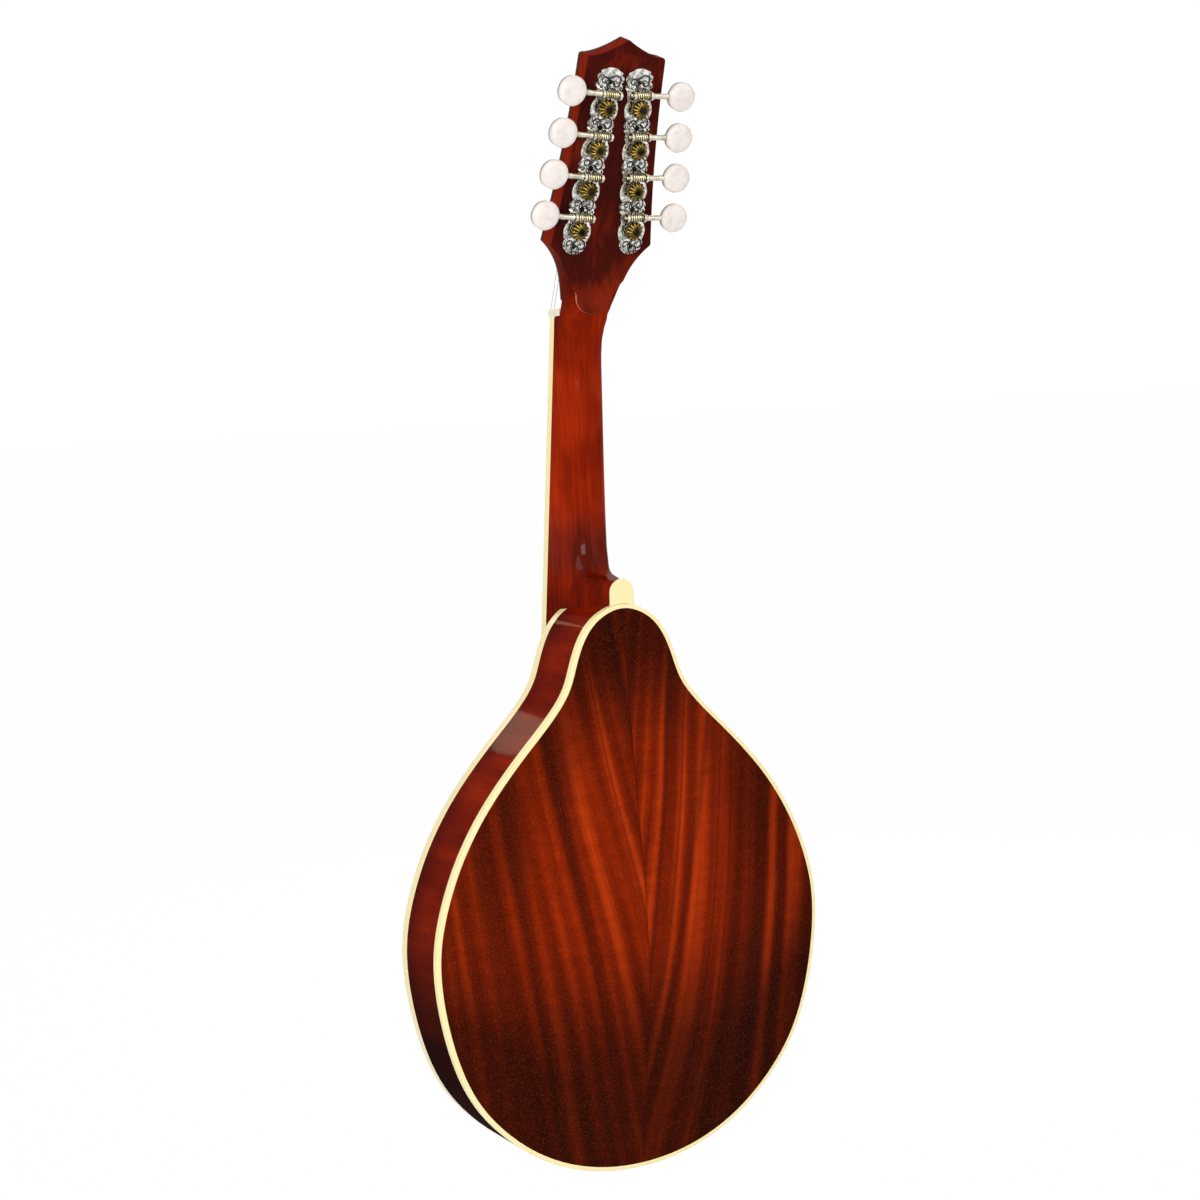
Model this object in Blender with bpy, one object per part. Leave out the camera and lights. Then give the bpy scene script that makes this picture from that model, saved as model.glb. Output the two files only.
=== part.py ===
"""A-style mandolin: arched back and top, oval sound hole, neck joined at the twelfth fret.

Metres. +Z runs up the neck to the headstock, the top faces -Y and the back faces +Y.
The origin is on the centre line where a hanger's fork holds the neck, under the headstock's corners.
"""

import math

import bmesh
import bpy
from mathutils import Matrix, Vector

# Body
BODY_LENGTH = 0.3400
BODY_WIDTH = 0.2630
BODY_TOP_Z = -0.1930
BACK_EDGE_Y = 0.0195
RIM_DEPTH = 0.0469
SIDE_THICKNESS = 0.0022
PLATE_THICKNESS = 0.0038
BACK_ARCH = 0.0147
TOP_ARCH = 0.0160
BINDING_WIDTH = 0.0026
BACK_BINDING_HEIGHT = 0.0046
TOP_BINDING_HEIGHT = 0.0070
LINING_WIDTH = 0.0050
LINING_HEIGHT = 0.0070
NECK_BLOCK_LENGTH = 0.0400
TAIL_BLOCK_LENGTH = 0.0170
TAIL_BLOCK_WIDTH = 0.0600
BRACE_WIDTH = 0.0080
BRACE_DEPTH = 0.0085
BRACE_LENGTH = 0.1500
BRACE_BELOW_HOLE = 0.0130
HOLE_LENGTH = 0.0600
HOLE_WIDTH = 0.0480
HOLE_BELOW_BOARD = 0.0060

# Half of the body's outline, tail to neck: share of the half width, share of the length from the tail
OUTLINE_SHAPE = [
    (0.000, 0.000), (0.289, 0.015), (0.554, 0.062), (0.767, 0.138), (0.916, 0.233), (1.000, 0.390),
    (0.970, 0.491), (0.893, 0.578), (0.792, 0.647), (0.690, 0.700), (0.560, 0.755), (0.457, 0.794),
    (0.376, 0.827), (0.309, 0.861), (0.275, 0.895), (0.233, 0.938), (0.160, 0.978), (0.056, 0.998),
]
WIDEST_SHARE = 0.390
POINTS_PER_SPAN = 2
# The arch: an egg near its crown, this share of the way to the neck, and height contours as shares
EGG_SHARE = 0.85
ARCH_FULLNESS = 0.85
ARCH_SHARES = [1.0, 0.90, 0.76, 0.58, 0.38, 0.18]
HOLE_POINTS = 28
BRACE_SCALLOP = 0.6

# Neck, fingerboard and strings
NUT_Z = -0.0234
NUT_THICKNESS = 0.0039
NUT_FRONT_Y = -0.0290
SCALE_LENGTH = 0.3450
NECK_ANGLE = math.radians(5.8)
BOARD_FRONT_Y = -0.0274
BOARD_THICKNESS = 0.0055
BOARD_NUT_WIDTH = 0.0292
BOARD_BODY_WIDTH = 0.0372
BOARD_FRETS = 20
BOARD_AFTER_FRET = 0.0060
FRET_HEIGHT = 0.0008
FRET_TANG = 0.0005
FRET_WIDTH = 0.0021
BOARD_BINDING = 0.0015
NECK_NUT_DEPTH = 0.0190
NECK_WAIST_DEPTH = 0.0160
NECK_WAIST_Z = -0.0500
NECK_HEEL_DEPTH = 0.0246
NECK_HEEL_Z = -0.1600
HEEL_FACE_Z = -0.1780
HEEL_FOOT = 0.0140
HEEL_CAP_WIDTH = 0.0156
# Sections of the heel's face: height over the face's foot and half width as a share of the cap's
HEEL_FACE = [(-0.0090, 1.0), (-0.0040, 0.85), (-0.0015, 0.55)]
HEEL_FOOT_SHARE = 1.1
# Sections of the heel's curve: share of its height, share of its depth, width at the back, squareness
HEEL_CURVE = [(0.97, 0.384, 0.60, 3.4), (0.78, 0.161, 0.80, 2.9), (0.42, 0.062, 0.95, 2.6)]
HEEL_SQUARENESS = 4.5
NECK_SQUARENESS = 2.6
NECK_TAPER_POWER = 0.75
HEEL_CAP_THICKNESS = 0.0018
RISER_LAP = 0.0050
RISER_FOOT_SHARE = 0.9
ROD_SIZE = 0.0050
ROD_ABOVE_HEEL = 0.0100
ROD_PAST_ROOT = 0.0035
ROD_DEPTH = 0.0072
STRING_ACTION = 0.0008
STRING_RADII = [0.00050, 0.00050, 0.00034, 0.00034, 0.00021, 0.00021, 0.00016, 0.00016]
COURSE_GAP_NUT = 0.0075
COURSE_GAP_BRIDGE = 0.0130
PAIR_GAP = 0.0022

# Headstock; heights above its back face are positive towards the back
HEAD_PITCH = math.radians(20.0)
HEAD_TAPER = math.radians(1.1)
HEAD_BACK_Y = -0.0011
HEAD_ROOT_THICKNESS = 0.0138
HEADPLATE_THICKNESS = 0.0018
HEAD_CORNER_RISE = 0.0367
HEAD_CORNER_WIDTH = 0.0674
HEAD_SHOULDER_RISE = 0.1454
HEAD_SHOULDER_WIDTH = 0.0512
HEAD_WAIST_CURVE = 0.0018
HEAD_SHOULDER_ROUND = 0.0015
HEAD_CREST_POWER = 1.6
HEAD_FLARE_POWER = 1.9
HEAD_SQUARENESS = 7.0
NECK_IN_HEAD = 0.72
# The flare starts at these shares of the corner's rise, behind the tongue and on the front
FLARE_FROM_TONGUE = 0.42
FLARE_FROM_ROOT = 0.20
HEAD_PEAK_RISE = 0.1547
TONGUE_RADIUS = 0.0122
TONGUE_STEP = 0.0010
ROD_COVER_LENGTH = 0.0300
ROD_COVER_WIDTH = 0.0200
ROD_COVER_THICKNESS = 0.0015
# Half of the rod cover's outline: share of the length and of the half width
ROD_COVER_SHAPE = [(0.03, 0.8), (0.25, 1.0), (0.5, 0.86), (0.75, 0.5), (0.93, 0.35), (1.0, 0.12)]

# Tuners: the first is the one nearest the tip
TUNERS_PER_SIDE = 4
TUNER_SPACING = 0.0236
TUNER_TAPER = math.radians(5.7)
TUNER_FIRST_RISE = 0.1168
TUNER_FIRST_X = 0.0110
PLATE_METAL = 0.0010
TUNER_PLATE_WIDTH = 0.0180
PLATE_SCALLOP = 0.14
PLATE_TIP = 0.0010
PLATE_STEPS = 32
TUNER_PLATE_ABOVE = 0.0225
TUNER_PLATE_BELOW = 0.0145
POST_RADIUS = 0.0030
POST_REACH = 0.0145
STRING_ON_POST = 0.55
STRING_HOLE_ON_POST = 0.45
STRING_HOLE_RADIUS = 0.0007
POST_TIP_SHARE = 0.8
POST_CHAMFER = 0.0006
GEAR_RADIUS = 0.0056
GEAR_TEETH = 14
GEAR_TOOTH = 0.0009
GEAR_THICKNESS = 0.0030
GEAR_HEIGHT = 0.0037
COLLAR_RADIUS = 0.0032
SCREW_HEIGHT = 0.0076
WORM_RADIUS = 0.0020
WORM_LENGTH = 0.0095
WORM_TILT_TREBLE = math.radians(4.0)
WORM_TILT_BASS = math.radians(0.6)
SHAFT_RADIUS = 0.0011
LUG_THICKNESS = 0.0014
LUG_LENGTH = 0.0050
LUG_OVER_SHAFT = 0.0016
SHAFT_COLLAR_SHARE = 1.35
SHAFT_TAIL = 0.0010
SHAFT_IN_BUTTON = 0.0050
BUTTON_RADIUS = 0.0085
BUTTON_THICKNESS = 0.0064
BUTTON_ROUND = 0.0022
BUTTON_OFFSET = 0.0256

# Bridge and tailpiece
BRIDGE_LENGTH = 0.1130
BRIDGE_WIDTH = 0.0090
BRIDGE_BASE_HEIGHT = 0.0080
BRIDGE_END_DROP = 0.0030
SADDLE_LENGTH = 0.0740
SADDLE_WIDTH = 0.0060
SADDLE_CREST_SHARE = 0.35
SADDLE_END_LENGTH = 0.0060
SADDLE_END_ROUND = 0.0022
STUD_IN_SADDLE = 0.0045
SADDLE_DROP = 0.0015
STUD_RADIUS = 0.0016
STUD_SPACING = 0.0520
WHEEL_RADIUS = 0.0056
WHEEL_THICKNESS = 0.0026
WHEEL_SIDES = 24
TAILPIECE_WIDTH = 0.0340
TAILPIECE_LENGTH = 0.0420
TAILPIECE_LEAF = 0.0300
TAILPIECE_HEIGHT = 0.0085
SHEET_METAL = 0.0012
HOOK_HEIGHT = 0.0022
HOOK_FROM_END = 0.0080
HOOK_LENGTH = 0.0025
HOOK_BAR_SHARE = 0.8
COVER_LENGTH = 0.0500
COVER_CROWN = 0.0070
COVER_SQUARENESS = 0.6
COVER_OPEN_BELOW = 0.0050

# Running gap between neighbours, how far a cutter runs past what it cuts, and sides of a small round
GAP = 0.0003
CUT = 0.0100
ROUND_SIDES = 12
SHAFT_SIDES = 8

HALF_WIDTH = BODY_WIDTH / 2
TAIL_Z = BODY_TOP_Z - BODY_LENGTH
WIDEST_Z = TAIL_Z + WIDEST_SHARE * BODY_LENGTH
FRONT_EDGE_Y = BACK_EDGE_Y - RIM_DEPTH
NECK_SLOPE = math.tan(NECK_ANGLE)
HEAD_ROOT_Z = NUT_Z + NUT_THICKNESS + 2 * GAP
BRIDGE_Z = NUT_Z - SCALE_LENGTH * math.cos(NECK_ANGLE)
WORM_OFFSET = GEAR_RADIUS + WORM_RADIUS + 1.5 * GAP
WORM_HEIGHT = GEAR_HEIGHT + GEAR_THICKNESS / 2
HEEL_END_Y = BACK_EDGE_Y - HEEL_CAP_THICKNESS

WOOD_BACK = ((0.28, 0.045, 0.012), 0.18, 0.0)
WOOD_TOP = ((0.62, 0.27, 0.07), 0.2, 0.0)
WOOD_BARE = ((0.62, 0.42, 0.24), 0.6, 0.0)
EBONY = ((0.02, 0.017, 0.015), 0.4, 0.0)
IVORY = ((0.86, 0.78, 0.50), 0.3, 0.0)
BONE = ((0.85, 0.82, 0.72), 0.35, 0.0)
PEARL = ((0.86, 0.85, 0.82), 0.2, 0.0)
NICKEL = ((0.72, 0.70, 0.64), 0.25, 1.0)
BRASS = ((0.75, 0.55, 0.22), 0.25, 1.0)


def clear_scene():
    for item in list(bpy.data.objects):
        bpy.data.objects.remove(item)


def material(name, look):
    colour, roughness, metallic = look
    made = bpy.data.materials.new(name)
    made.use_nodes = True
    surface = made.node_tree.nodes["Principled BSDF"]
    surface.inputs["Base Color"].default_value = (*colour, 1.0)
    surface.inputs["Roughness"].default_value = roughness
    surface.inputs["Metallic"].default_value = metallic
    made.diffuse_color = (*colour, 1.0)
    return made


def new_object(name, mesh, look=None, matrix=None, smooth=True):
    made = bpy.data.objects.new(name, mesh)
    bpy.context.scene.collection.objects.link(made)
    if matrix is not None:
        made.matrix_world = matrix
    if look is not None:
        made.data.materials.clear()
        made.data.materials.append(material(name, look))
    if smooth:
        made.data.shade_smooth()
        made.data.set_sharp_from_angle(angle=math.radians(35))
    return made


def mesh_from(bm, name="shape"):
    bmesh.ops.recalc_face_normals(bm, faces=bm.faces[:])
    mesh = bpy.data.meshes.new(name)
    bm.to_mesh(mesh)
    bm.free()
    return mesh


def loft(rings, name="loft"):
    """Closed solid through rings of points that all have the same count; the ends are capped."""
    bm = bmesh.new()
    loops = [[bm.verts.new(point) for point in ring] for ring in rings]
    count = len(loops[0])
    for low, high in zip(loops, loops[1:]):
        for i in range(count):
            j = (i + 1) % count
            bm.faces.new((low[i], low[j], high[j], high[i]))
    bm.faces.new(loops[0])
    bm.faces.new(loops[-1])
    return mesh_from(bm, name)


def tube_ring(outer, inner, low_y, high_y):
    """Flat ring between two loops of (x, z), from low_y to high_y."""
    bm = bmesh.new()
    corners = [(outer, low_y), (outer, high_y), (inner, high_y), (inner, low_y)]
    loops = [[bm.verts.new((x, y, z)) for x, z in loop] for loop, y in corners]
    count = len(outer)
    for first, second in zip(loops, loops[1:] + loops[:1]):
        for i in range(count):
            j = (i + 1) % count
            bm.faces.new((first[i], first[j], second[j], second[i]))
    return mesh_from(bm)


def prism(loop, low_y, high_y):
    """Solid with an outline of (x, z) points, from low_y to high_y."""
    return loft([[(x, low_y, z) for x, z in loop], [(x, high_y, z) for x, z in loop]])


def box(low, high):
    """Box between two opposite corners."""
    bm = bmesh.new()
    bmesh.ops.create_cube(bm, size=1.0)
    centre = (Vector(low) + Vector(high)) / 2
    size = Vector(high) - Vector(low)
    bmesh.ops.scale(bm, vec=size, verts=bm.verts[:])
    bmesh.ops.translate(bm, vec=centre, verts=bm.verts[:])
    return mesh_from(bm)


def turned(profile, segments=20):
    """Solid of revolution about local Z through (radius, height) points, its ends on the axis or capped."""
    rings = []
    for radius, height in profile:
        ring = []
        for i in range(segments):
            turn = math.tau * i / segments
            ring.append((radius * math.cos(turn), radius * math.sin(turn), height))
        rings.append(ring)
    return loft(rings)


def cylinder(radius, low, high, segments=20):
    return turned([(radius, low), (radius, high)], segments)


def combine(target, mesh, operation, matrix=None):
    """Cut the mesh out of the target, or join it to the target."""
    tool = new_object("tool", mesh, matrix=matrix, smooth=False)
    tool.hide_render = True
    tool.display_type = "WIRE"
    boolean = target.modifiers.new("Boolean", "BOOLEAN")
    boolean.operation = operation
    boolean.object = tool
    bpy.context.view_layer.update()
    evaluated = target.evaluated_get(bpy.context.evaluated_depsgraph_get())
    result = bpy.data.meshes.new_from_object(evaluated)
    target.modifiers.clear()
    target.data = result
    bpy.data.objects.remove(tool)


def smoothstep(value):
    value = min(1.0, max(0.0, value))
    return value * value * (3 - 2 * value)


def body_outline():
    """Closed outline of the body as (x, z), a Catmull-Rom curve from the tail up the treble side."""
    right = [(HALF_WIDTH * across, TAIL_Z + BODY_LENGTH * along) for across, along in OUTLINE_SHAPE]
    right.append((0.0, BODY_TOP_Z))
    left = [(-x, z) for x, z in right[-2:0:-1]]
    knots = [Vector(point) for point in right + left]
    loop = []
    for i in range(len(knots)):
        before, start, end, after = (knots[(i + k - 1) % len(knots)] for k in range(4))
        for step in range(POINTS_PER_SPAN):
            t = step / POINTS_PER_SPAN
            point = 0.5 * (2 * start + (end - before) * t + (2 * before - 5 * start + 4 * end - after) * t ** 2
                           + (3 * start - before - 3 * end + after) * t ** 3)
            loop.append((point.x, point.y))
    return loop


def inset(loop, distance):
    """The loop moved inwards; a negative distance moves it outwards."""
    moved = []
    for i, (x, z) in enumerate(loop):
        before = Vector(loop[i - 1])
        after = Vector(loop[(i + 1) % len(loop)])
        along = (after - before).normalized()
        moved.append((x - along.y * distance, z + along.x * distance))
    return moved


OUTLINE = body_outline()
PLATE_OUTLINE = inset(OUTLINE, BINDING_WIDTH + GAP)


def edge_reach(across, along):
    """Distance from the arch's centre to the plate's edge in a direction."""
    for i, start in enumerate(PLATE_OUTLINE):
        start = Vector((start[0], start[1] - WIDEST_Z))
        end = PLATE_OUTLINE[(i + 1) % len(PLATE_OUTLINE)]
        side = Vector((end[0], end[1] - WIDEST_Z)) - start
        cross = across * side.y - along * side.x
        if abs(cross) < 1e-12:
            continue
        place = (start.x * along - start.y * across) / cross
        reach = (start.x * side.y - start.y * side.x) / cross
        if reach > 0 and -1e-6 <= place <= 1 + 1e-6:
            return reach
    return HALF_WIDTH


def contour_reach(across, along, edge, share):
    """Distance of a height contour from the centre: an egg near the crown, the outline at the edge."""
    length = EGG_SHARE * (BODY_TOP_Z - WIDEST_Z) if along > 0 else WIDEST_Z - TAIL_Z
    egg = 1 / math.hypot(across / HALF_WIDTH, along / length)
    return share * (egg + (edge - egg) * share)


def edge_share(x, z):
    """0 at the centre of the arch and 1 at the plate's edge."""
    along = z - WIDEST_Z
    distance = math.hypot(x, along)
    if distance < 1e-9:
        return 0.0
    direction = (x / distance, along / distance)
    edge = edge_reach(*direction)
    low, high = 0.0, 1.0
    for _ in range(30):
        middle = (low + high) / 2
        if contour_reach(*direction, edge, middle) < distance:
            low = middle
        else:
            high = middle
    return high


def arch_rise(share):
    """Height of the arch over its edge, as a share of its full height."""
    return smoothstep(1 - share) ** ARCH_FULLNESS


def top_surface(x, z):
    return FRONT_EDGE_Y - TOP_ARCH * arch_rise(edge_share(x, z))


def arched_plate(edge_y, arch, outward):
    """Arched plate on the body's outline; outward is +1 for the back and -1 for the top."""
    bm = bmesh.new()
    sheets = []
    for depth in (0.0, PLATE_THICKNESS):
        loops = []
        for share in ARCH_SHARES:
            y = edge_y + outward * (arch * arch_rise(share) - depth)
            loop = []
            for x, z in PLATE_OUTLINE:
                edge = math.hypot(x, z - WIDEST_Z)
                across, along = x / edge, (z - WIDEST_Z) / edge
                reach = contour_reach(across, along, edge, share)
                loop.append(bm.verts.new((across * reach, y, WIDEST_Z + along * reach)))
            loops.append(loop)
        centre = bm.verts.new((0.0, edge_y + outward * (arch - depth), WIDEST_Z))
        sheets.append((loops, centre))
    count = len(PLATE_OUTLINE)
    for loops, centre in sheets:
        for outer, inner in zip(loops, loops[1:]):
            for i in range(count):
                j = (i + 1) % count
                bm.faces.new((outer[i], outer[j], inner[j], inner[i]))
        for i in range(count):
            bm.faces.new((loops[-1][i], loops[-1][(i + 1) % count], centre))
    rims = [sheet[0][0] for sheet in sheets]
    for i in range(count):
        j = (i + 1) % count
        bm.faces.new((rims[0][i], rims[0][j], rims[1][j], rims[1][i]))
    return mesh_from(bm)


def hole_centre_z():
    return board_end_z() - HOLE_BELOW_BOARD - HOLE_LENGTH / 2


def make_plates():
    new_object("back_plate", arched_plate(BACK_EDGE_Y, BACK_ARCH, 1), WOOD_BACK)
    soundboard = new_object("soundboard", arched_plate(FRONT_EDGE_Y, TOP_ARCH, -1), WOOD_TOP)
    ellipse = []
    for i in range(HOLE_POINTS):
        turn = math.tau * i / HOLE_POINTS
        ellipse.append((HOLE_WIDTH / 2 * math.cos(turn), hole_centre_z() + HOLE_LENGTH / 2 * math.sin(turn)))
    combine(soundboard, prism(ellipse, FRONT_EDGE_Y - 2 * TOP_ARCH, FRONT_EDGE_Y + TOP_ARCH), "DIFFERENCE")


def side_path(loop, side):
    """The part of the loop on one side of the centre line, tail to neck, stopped short of the seam."""
    half = len(loop) // 2
    path = [loop[i] if side > 0 else loop[-i] for i in range(half + 1)]
    path[0] = (side * GAP / 2, path[0][1])
    path[-1] = (side * GAP / 2, path[-1][1])
    return path


def make_sides():
    low_y = FRONT_EDGE_Y + TOP_BINDING_HEIGHT + GAP
    high_y = BACK_EDGE_Y - BACK_BINDING_HEIGHT - GAP
    inner = inset(OUTLINE, SIDE_THICKNESS)
    for side, name in ((1, "rib_treble"), (-1, "rib_bass")):
        wall = side_path(OUTLINE, side) + side_path(inner, side)[::-1]
        new_object(name, prism(wall, low_y, high_y), WOOD_BACK)
    rim = inset(OUTLINE, BINDING_WIDTH)
    new_object("top_binding", tube_ring(OUTLINE, rim, FRONT_EDGE_Y, FRONT_EDGE_Y + TOP_BINDING_HEIGHT), IVORY)
    new_object("back_binding", tube_ring(OUTLINE, rim, BACK_EDGE_Y - BACK_BINDING_HEIGHT, BACK_EDGE_Y), IVORY)


def make_linings():
    """Strips inside the rim that carry the plates, open at the neck block."""
    outer = inset(OUTLINE, BINDING_WIDTH + GAP)
    inner = inset(OUTLINE, BINDING_WIDTH + GAP + LINING_WIDTH)
    stop_z = BODY_TOP_Z - SIDE_THICKNESS - NECK_BLOCK_LENGTH - 2 * GAP
    keep = [i for i in range(len(OUTLINE)) if outer[i][1] < stop_z and inner[i][1] < stop_z]
    split = next(k for k in range(len(keep) - 1) if keep[k + 1] != keep[k] + 1)
    order = keep[split + 1:] + keep[:split + 1]
    strip = [outer[i] for i in order] + [inner[i] for i in reversed(order)]
    back_y = BACK_EDGE_Y - PLATE_THICKNESS - GAP
    top_y = FRONT_EDGE_Y + PLATE_THICKNESS + GAP
    new_object("back_lining", prism(strip, back_y - LINING_HEIGHT, back_y), WOOD_BARE)
    new_object("top_lining", prism(strip, top_y, top_y + LINING_HEIGHT), WOOD_BARE)


def clipped_block(name, block, low_y, high_y):
    """A block inside the rim: the box, trimmed to the inner face of the sides."""
    made = new_object(name, prism(block, low_y, high_y), WOOD_BARE)
    inner = inset(OUTLINE, SIDE_THICKNESS + GAP)
    combine(made, prism(inner, low_y - CUT, high_y + CUT), "INTERSECT")


def make_blocks():
    neck_low = BODY_TOP_Z - SIDE_THICKNESS - NECK_BLOCK_LENGTH
    low_y = FRONT_EDGE_Y + max(PLATE_THICKNESS, TOP_BINDING_HEIGHT) + GAP
    high_y = BACK_EDGE_Y - max(PLATE_THICKNESS, BACK_BINDING_HEIGHT) - GAP
    wide = HALF_WIDTH
    clipped_block("neck_block", [(-wide, neck_low), (wide, neck_low), (wide, BODY_TOP_Z), (-wide, BODY_TOP_Z)],
                  low_y, high_y)
    half = TAIL_BLOCK_WIDTH / 2
    tail_high = TAIL_Z + SIDE_THICKNESS + TAIL_BLOCK_LENGTH
    lining_low = FRONT_EDGE_Y + PLATE_THICKNESS + 2 * GAP + LINING_HEIGHT
    lining_high = BACK_EDGE_Y - PLATE_THICKNESS - 2 * GAP - LINING_HEIGHT
    clipped_block("tail_block", [(-half, TAIL_Z), (half, TAIL_Z), (half, tail_high), (-half, tail_high)],
                  lining_low, lining_high)


def strip_under_arch(length, width, z_mid, surface, thickness, steps=12):
    """Bar across the body whose first face follows surface(x, z) and whose second lies thickness further."""
    rings = []
    for i in range(steps + 1):
        x = -length / 2 + length * i / steps
        low, high = z_mid - width / 2, z_mid + width / 2
        rings.append([(x, surface(x, low), low), (x, surface(x, high), high),
                      (x, surface(x, high) + thickness(x), high), (x, surface(x, low) + thickness(x), low)])
    return loft(rings)


def make_brace():
    z_mid = hole_centre_z() - HOLE_LENGTH / 2 - BRACE_BELOW_HOLE - BRACE_WIDTH / 2

    def inside(x, z):
        return top_surface(x, z) + PLATE_THICKNESS + GAP

    def scallop(x):
        return BRACE_DEPTH * (1 - BRACE_SCALLOP * (2 * x / BRACE_LENGTH) ** 2)

    new_object("cross_brace", strip_under_arch(BRACE_LENGTH, BRACE_WIDTH, z_mid, inside, scallop), WOOD_BARE)


def board_y(z):
    """Front face of the fingerboard at height z."""
    return BOARD_FRONT_Y - NECK_SLOPE * (NUT_Z - z)


def board_half(z):
    """Half width of the neck and of the bound fingerboard."""
    share = (NUT_Z - z) / (NUT_Z - BODY_TOP_Z)
    return (BOARD_NUT_WIDTH + (BOARD_BODY_WIDTH - BOARD_NUT_WIDTH) * share) / 2


def fret_z(number):
    return NUT_Z - SCALE_LENGTH * (1 - 2 ** (-number / 12)) * math.cos(NECK_ANGLE)


def board_end_z():
    return fret_z(BOARD_FRETS) - BOARD_AFTER_FRET


def neck_seat(z):
    """Face of the neck that carries the fingerboard."""
    return board_y(z) + BOARD_THICKNESS + GAP


def head_point(x, rise, height):
    """World point from the headstock's own sizes: across, up along the back face, above that face."""
    y = HEAD_BACK_Y + rise * math.sin(HEAD_PITCH) + height * math.cos(HEAD_PITCH)
    z = HEAD_ROOT_Z + rise * math.cos(HEAD_PITCH) - height * math.sin(HEAD_PITCH)
    return Vector((x, y, z))


def head_thickness(rise):
    return HEAD_ROOT_THICKNESS - rise * math.tan(HEAD_TAPER)


def head_back_y(z):
    return HEAD_BACK_Y + (z - HEAD_ROOT_Z) * math.tan(HEAD_PITCH)


def head_wood_front_y(z):
    """Front face of the headstock's wood at height z, under the headplate."""
    rise = (z - HEAD_ROOT_Z) / math.cos(HEAD_PITCH)
    return head_back_y(z) - (head_thickness(rise) - HEADPLATE_THICKNESS) / math.cos(HEAD_PITCH)


def neck_section(z, front_y, depth, half, back_half, power, count=14):
    """Flat-fronted section that narrows to back_half at the back; a higher power is squarer."""
    ring = []
    for i in range(count + 1):
        turn = math.pi * i / count
        across = math.copysign(abs(math.cos(turn)) ** (2 / power), math.cos(turn))
        share = abs(math.sin(turn)) ** (2 / power)
        ring.append((across * (half + (back_half - half) * share), front_y + depth * share, z))
    return ring


def flare_half(z):
    """Half width of the neck where it widens into the headstock's lower corners."""
    root = board_half(NUT_Z)
    corner_z = head_point(0, HEAD_CORNER_RISE, 0).z
    share = max(0.0, (z - HEAD_ROOT_Z) / (corner_z - HEAD_ROOT_Z))
    return root + (HEAD_CORNER_WIDTH / 2 - root) * share ** HEAD_FLARE_POWER


def neck_rings():
    """Sections from the body up to the root of the headstock."""
    rings = []
    heel = [(BODY_TOP_Z - HEEL_FOOT, HEEL_FOOT_SHARE)]
    heel += [(HEEL_FACE_Z + over, share) for over, share in HEEL_FACE]
    for z, share in heel:
        depth = HEEL_END_Y - GAP - neck_seat(z)
        rings.append(neck_section(z, neck_seat(z), depth, board_half(z), share * HEEL_CAP_WIDTH / 2,
                                  HEEL_SQUARENESS))
    for share, swell, narrow, power in HEEL_CURVE:
        z = NECK_HEEL_Z + (HEEL_FACE_Z - NECK_HEEL_Z) * share
        depth = NECK_HEEL_DEPTH + swell * (HEEL_END_Y - neck_seat(z) - NECK_HEEL_DEPTH)
        rings.append(neck_section(z, neck_seat(z), depth, board_half(z), board_half(z) * narrow, power))
    steps = 5
    for i in range(steps + 1):
        z = NECK_HEEL_Z + (NECK_WAIST_Z - NECK_HEEL_Z) * i / steps
        depth = NECK_HEEL_DEPTH + (NECK_WAIST_DEPTH - NECK_HEEL_DEPTH) * (i / steps) ** NECK_TAPER_POWER
        rings.append(neck_section(z, neck_seat(z), depth, board_half(z), board_half(z), NECK_SQUARENESS))
    seat_z = NUT_Z - 2 * GAP
    half = board_half(seat_z)
    rings.append(neck_section(seat_z, neck_seat(seat_z), NECK_NUT_DEPTH, half, half, NECK_SQUARENESS))
    top_z = head_point(0, HEAD_CORNER_RISE * NECK_IN_HEAD, 0).z
    steps = 6
    for i in range(steps + 1):
        z = NUT_Z + (top_z - NUT_Z) * i / steps
        front = head_wood_front_y(z) + 2 * GAP * i / steps
        depth = head_back_y(z) - TONGUE_STEP / math.cos(HEAD_PITCH) - front
        squareness = NECK_SQUARENESS + (HEAD_SQUARENESS - NECK_SQUARENESS) * i / steps
        rings.append(neck_section(z, front, depth, flare_half(z), flare_half(z), squareness))
    return rings


def head_outline(with_tongue):
    """Half outline of the headstock as (x, rise), root to peak; the back face's root is a round tongue."""
    points = []
    if with_tongue:
        tongue_rise = TONGUE_RADIUS + (NUT_Z - HEAD_ROOT_Z) / math.cos(HEAD_PITCH)
        for i in range(6):
            turn = -math.pi / 2 + math.radians(88) * i / 5
            points.append((TONGUE_RADIUS * math.cos(turn), tongue_rise + TONGUE_RADIUS * math.sin(turn)))
    else:
        points += [(0.0, 0.0), (flare_half(HEAD_ROOT_Z), 0.0)]
    first = FLARE_FROM_TONGUE if with_tongue else FLARE_FROM_ROOT
    steps = 5
    for i in range(steps + 1):
        rise = HEAD_CORNER_RISE * (first + (1 - first) * i / steps)
        points.append((flare_half(HEAD_ROOT_Z + rise * math.cos(HEAD_PITCH)), rise))
    corner, shoulder = HEAD_CORNER_WIDTH / 2, HEAD_SHOULDER_WIDTH / 2
    for i in range(1, 6):
        share = i / 5
        points.append((corner + (shoulder - corner) * share - 4 * HEAD_WAIST_CURVE * share * (1 - share),
                       HEAD_CORNER_RISE + (HEAD_SHOULDER_RISE - HEAD_CORNER_RISE) * share))
    points[-1] = (shoulder, HEAD_SHOULDER_RISE - HEAD_SHOULDER_ROUND)
    shoulder -= HEAD_SHOULDER_ROUND
    points.append((shoulder, HEAD_SHOULDER_RISE))
    crest = HEAD_PEAK_RISE - HEAD_SHOULDER_RISE
    for share in (0.35, 0.65, 0.85):
        points.append((shoulder * (1 - share), HEAD_SHOULDER_RISE + crest * share ** HEAD_CREST_POWER))
    points.append((0.0, HEAD_PEAK_RISE))
    return points


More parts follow.
